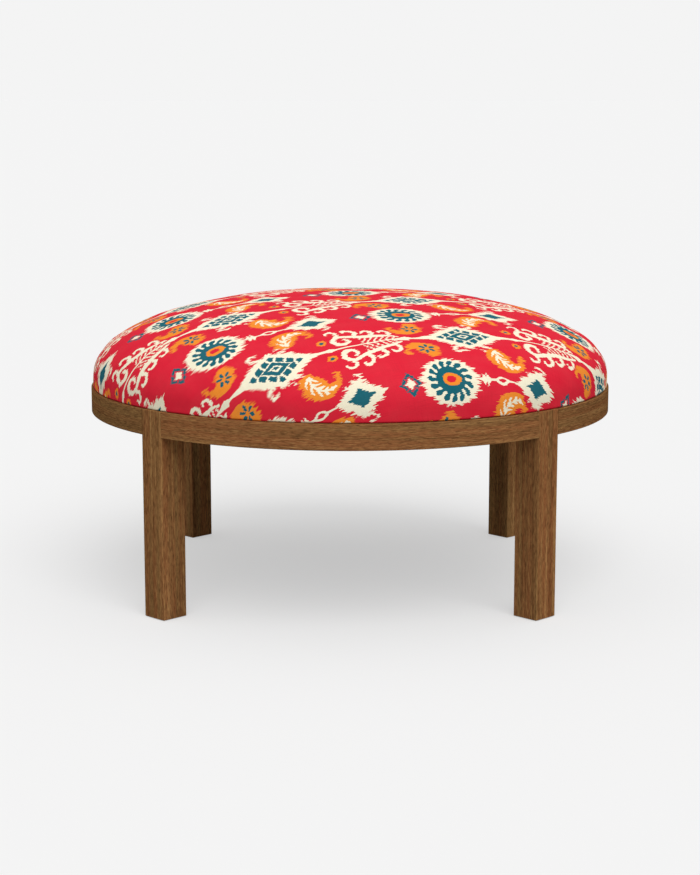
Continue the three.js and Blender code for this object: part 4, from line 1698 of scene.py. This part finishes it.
class TUFFET_OT_joints(bpy.types.Operator):
    """Finishes the loose tenons and adds the corner blocks behind the legs"""

    bl_idname = "tuffet.joints"
    bl_label = "Tenons and corner blocks"

    def execute(self, context):
        shape = block_mesh(frame_plan())
        across_corner = points_of(shape)[:, [1, 0, 2]] + BLOCK_GRAIN_START
        softwood = softwood_material(context.scene.tuffet_colours)
        beech = beech_material()
        for number, (corner, angle) in enumerate(CORNERS.items()):
            mesh = turned_copy(shape, f"softwood_block_{corner}", angle)
            give_vectors(mesh, "grain", across_corner + BLOCK_GRAIN_STEP * number)
            block = new_piece(f"softwood_block_{corner}", mesh)
            finish_piece(block, softwood, [f"corner_block_{corner}"])
            for index in (1, 2):
                dress_node(f"tenon_{corner}_{index}", beech)
        return {"FINISHED"}


class TUFFET_OT_screws(bpy.types.Operator):
    """Adds the screws that hold the corner blocks and the seat"""

    bl_idname = "tuffet.screws"
    bl_label = "Screws"

    def execute(self, context):
        plan = frame_plan()
        rail_screw = screw_mesh(RAIL_SCREW_LENGTH)
        leg_screw = screw_mesh(LEG_SCREW_LENGTH)
        deck_screw = screw_mesh(DECK_SCREW_LENGTH)
        to_middle = Matrix.Translation((0, 0, plan.ring_middle))
        to_leg_seat = Matrix.Translation((0, 0, plan.leg_screw_seat))
        to_rail_seat = Matrix.Translation((0, 0, plan.rail_screw_seat))
        for corner, angle in CORNERS.items():
            self.add(f"leg_screw_{corner}", leg_screw, to_leg_seat, OUTWARD, to_middle, turn_z(angle))
            for index, side in enumerate((-1, 1), 1):
                turn = turn_z(angle + side * plan.rail_screw_turn)
                self.add(f"rail_screw_{corner}_{index}", rail_screw, to_rail_seat, OUTWARD, to_middle, turn)
            for index, (x, y) in enumerate(plan.deck_screws, 1):
                to_deck_seat = Matrix.Translation((x, y, plan.deck_screw_seat))
                self.add(f"deck_screw_{corner}_{index}", deck_screw, to_deck_seat, turn_z(angle))
        return {"FINISHED"}

    def add(self, node_name, shape, *steps):
        mesh = moved(shape.copy(), *steps)
        mesh.name = f"threaded_{node_name}"
        finish_piece(new_piece(mesh.name, mesh), zinc_steel(), [node_name])


class TUFFET_OT_glides(bpy.types.Operator):
    """Adds the nylon glides under the legs and the nails that hold them"""

    bl_idname = "tuffet.glides"
    bl_label = "Glides"

    def execute(self, context):
        plan = frame_plan()
        glide_shape, nail_shape = glide_mesh(), nail_mesh()
        nylon = nylon_material()
        for corner, angle in CORNERS.items():
            steps = (Matrix.Translation((plan.leg_axis, 0, 0)), turn_z(angle))
            glide = new_piece(f"nylon_glide_{corner}", moved(glide_shape.copy(), *steps))
            finish_piece(glide, nylon, [f"glide_{corner}"])
            nail = new_piece(f"glide_nail_{corner}", moved(nail_shape.copy(), *steps))
            finish_piece(nail, zinc_steel())
        return {"FINISHED"}


class TUFFET_OT_deck(bpy.types.Operator):
    """Finishes the plywood deck that the seat is built on"""

    bl_idname = "tuffet.deck"
    bl_label = "Deck"

    def execute(self, context):
        dress_node("seat_deck", plywood_material(context.scene.tuffet_seat.deck_bottom))
        return {"FINISHED"}


class TUFFET_OT_stuffing(bpy.types.Operator):
    """Adds the two layers of foam and the wadding over them"""

    bl_idname = "tuffet.stuffing"
    bl_label = "Foam and wadding"

    def execute(self, context):
        seat, plan = context.scene.tuffet_seat, seat_plan()
        inset = seat.cover_thickness + seat.wadding_thickness + 2 * plan.gap
        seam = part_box("foam_base")[1].z
        base_mesh = foam_mesh("firm_foam_base", plan, inset, seat.deck_top + plan.gap, seam)
        base = new_piece("firm_foam_base", base_mesh)
        finish_piece(base, foam_material("firm_foam", linear(214, 205, 168)), ["foam_base"])
        crown = new_piece("soft_foam_crown", foam_mesh("soft_foam_crown", plan, inset, seam + plan.gap))
        finish_piece(crown, foam_material("soft_foam", linear(236, 228, 186)), ["foam_crown"])
        wadding = new_piece("fibre_wadding", wadding_mesh(seat, plan))
        finish_piece(wadding, wadding_material(), ["wadding_wrap"])
        return {"FINISHED"}


class TUFFET_OT_cover(bpy.types.Operator):
    """Adds the printed cover, stretched over the dome and folded under the deck"""

    bl_idname = "tuffet.cover"
    bl_label = "Seat cover"

    def execute(self, context):
        seat = context.scene.tuffet_seat
        mesh, reach = cover_mesh(seat, seat_plan())
        cover = new_piece("printed_cover", mesh)
        material = printed_fabric_material(seat, context.scene.tuffet_colours)
        finish_piece(cover, material, ["seat_cover"])
        side = 2 * reach
        pi * reach**2
        return {"FINISHED"}


class TUFFET_OT_dust_cover(bpy.types.Operator):
    """Adds the cloth under the seat, with its staples"""

    bl_idname = "tuffet.dust_cover"
    bl_label = "Dust cover"

    def execute(self, context):
        plan = frame_plan()
        radius = context.scene.tuffet_seat.dust_cover_radius
        cloth = new_piece("spunbond_dust_cover", dust_cover_mesh(plan, radius, plan.ring_top))
        finish_piece(cloth, dust_cloth_material(), ["dust_cover"])
        under_hem = plan.ring_top - 2 * DUST_CLOTH
        clear_of_blocks = plan.block_turn + STAPLE_CLEARANCE
        mesh = staples_mesh(radius - HEM / 2, under_hem, clear_of_blocks)
        finish_piece(new_piece("dust_cover_staples", mesh), zinc_steel())
        return {"FINISHED"}


CAMERA_PLACE = (0.0, -3.109, 0.768)
CAMERA_PITCH = radians(10.0)
CAMERA_LENS = 81.66
CAMERA_SENSOR = 36.0
VIEW_REACH = 400.0
FLOOR_REACH = 120.0
LAMP_SIDE = radians(14)  # to the right of the front
LAMP_RISE = radians(50)
LAMP_WIDTH = radians(52)
KEY_LEVEL = 0.53
SKY_LOW = 0.04  # near the floor
SKY_HIGH = 0.88  # overhead
SHADOW_SHARE = 0.46  # of the shadow that falls on the floor shows to the camera
FLOOR_BOUNCE = 0.42  # of the light that falls on the floor goes back up


def blended(tree, share, first, second):
    """Goes from the first surface or background to the second as the share goes from 0 to 1."""
    return node(tree, "MixShader", {0: share, 1: first.outputs[0], 2: second.outputs[0]})


def seen_directly(tree):
    """1 for the camera's rays, and for what metal or glass shows."""
    path = node(tree, "LightPath")
    shown = maths(tree, "MAXIMUM", path.outputs["Is Camera Ray"], path.outputs["Is Glossy Ray"])
    return maths(tree, "MAXIMUM", shown, path.outputs["Is Transmission Ray"])


class TUFFET_OT_stage(bpy.types.Operator):
    """Adds the floor, the light and the camera"""

    bl_idname = "tuffet.stage"
    bl_label = "Stage"

    def execute(self, context):
        scene = context.scene
        colour = rgba(scene.tuffet_colours.floor)
        self.add_floor(colour)
        self.add_sky(scene, colour)
        self.add_lamp(scene)
        self.add_camera(scene)
        scene.view_settings.view_transform = "Standard"
        return {"FINISHED"}

    def add_floor(self, colour):
        """A floor that takes light like any other, and shows its own colour and a soft shadow."""
        reach = FLOOR_REACH
        corners = [(-reach, -reach, 0), (reach, -reach, 0), (reach, reach, 0), (-reach, reach, 0)]
        floor = new_piece("floor", mesh_of("floor", corners, [(0, 1, 2, 3)]))
        material, tree = new_material("floor")
        plain = node(tree, "BsdfDiffuse", {"Color": colour})
        dim = node(tree, "BsdfDiffuse", {"Color": (FLOOR_BOUNCE, FLOOR_BOUNCE, FLOOR_BOUNCE, 1.0)})
        glow = node(tree, "Emission", {"Color": colour, "Strength": 1.0})
        soft = blended(tree, SHADOW_SHARE, glow, plain)
        shown = blended(tree, seen_directly(tree), dim, soft)
        node(tree, "OutputMaterial", {"Surface": shown.outputs[0]})
        floor.data.materials.append(material)

    def add_sky(self, scene, colour):
        """A sky that is brightest overhead, and shows the floor's colour."""
        world = bpy.data.worlds.new("studio")
        world.use_nodes = True
        tree = world.node_tree
        tree.nodes.clear()
        height = split(tree, node(tree, "TexCoord").outputs["Generated"])["Z"]
        level = between(tree, height, 0.0, 1.0, SKY_LOW, SKY_HIGH)
        sky = node(tree, "Background", {"Color": (1.0, 1.0, 1.0, 1.0), "Strength": level})
        plain = node(tree, "Background", {"Color": colour, "Strength": 1.0})
        shown = blended(tree, seen_directly(tree), sky, plain)
        node(tree, "OutputWorld", {"Surface": shown.outputs[0]})
        scene.world = world

    def add_lamp(self, scene):
        lamp_data = bpy.data.lights.new("key", "SUN")
        lamp_data.energy = KEY_LEVEL * pi
        lamp_data.angle = LAMP_WIDTH
        lamp = bpy.data.objects.new("key", lamp_data)
        along_floor = cos(LAMP_RISE)
        direction = Vector((sin(LAMP_SIDE) * along_floor, -cos(LAMP_SIDE) * along_floor, sin(LAMP_RISE)))
        lamp.rotation_mode = "QUATERNION"
        lamp.rotation_quaternion = direction.to_track_quat("Z", "Y")
        scene.collection.objects.link(lamp)

    def add_camera(self, scene):
        camera_data = bpy.data.cameras.new("camera")
        camera_data.lens = CAMERA_LENS
        camera_data.sensor_width = CAMERA_SENSOR
        camera_data.clip_end = VIEW_REACH
        camera = bpy.data.objects.new("camera", camera_data)
        camera.location = CAMERA_PLACE
        camera.rotation_euler = (pi / 2 - CAMERA_PITCH, 0.0, 0.0)
        scene.collection.objects.link(camera)
        scene.camera = camera


STEPS = [
    TUFFET_OT_legs,
    TUFFET_OT_rails,
    TUFFET_OT_joints,
    TUFFET_OT_screws,
    TUFFET_OT_glides,
    TUFFET_OT_deck,
    TUFFET_OT_stuffing,
    TUFFET_OT_cover,
    TUFFET_OT_dust_cover,
    TUFFET_OT_stage,
]


class TUFFET_PT_build(bpy.types.Panel):
    """Lists the tuffet's sizes, colours and steps"""

    bl_idname = "TUFFET_PT_build"
    bl_label = "Tuffet"
    bl_space_type = "VIEW_3D"
    bl_region_type = "UI"
    bl_category = "Tuffet"

    def draw(self, context):
        scene = context.scene
        for group in (scene.tuffet_frame, scene.tuffet_seat, scene.tuffet_colours):
            box = self.layout.box()
            for name in group.__annotations__:
                box.prop(group, name)
        for step in STEPS:
            self.layout.operator(step.bl_idname)


CLASSES = [TuffetFrameSizes, TuffetSeatSizes, TuffetColours, *STEPS, TUFFET_PT_build]


def register():
    for cls in CLASSES:
        bpy.utils.register_class(cls)
    bpy.types.Scene.tuffet_frame = bpy.props.PointerProperty(type=TuffetFrameSizes)
    bpy.types.Scene.tuffet_seat = bpy.props.PointerProperty(type=TuffetSeatSizes)
    bpy.types.Scene.tuffet_colours = bpy.props.PointerProperty(type=TuffetColours)


def unregister():
    del bpy.types.Scene.tuffet_colours
    del bpy.types.Scene.tuffet_seat
    del bpy.types.Scene.tuffet_frame
    for cls in reversed(CLASSES):
        bpy.utils.unregister_class(cls)


def main():
    register()
    bpy.ops.tuffet.legs()
    bpy.ops.tuffet.rails()
    bpy.ops.tuffet.joints()
    bpy.ops.tuffet.screws()
    bpy.ops.tuffet.glides()
    bpy.ops.tuffet.deck()
    bpy.ops.tuffet.stuffing()
    bpy.ops.tuffet.cover()
    bpy.ops.tuffet.dust_cover()
    bpy.ops.tuffet.stage()


if __name__ == "__main__":
    main()
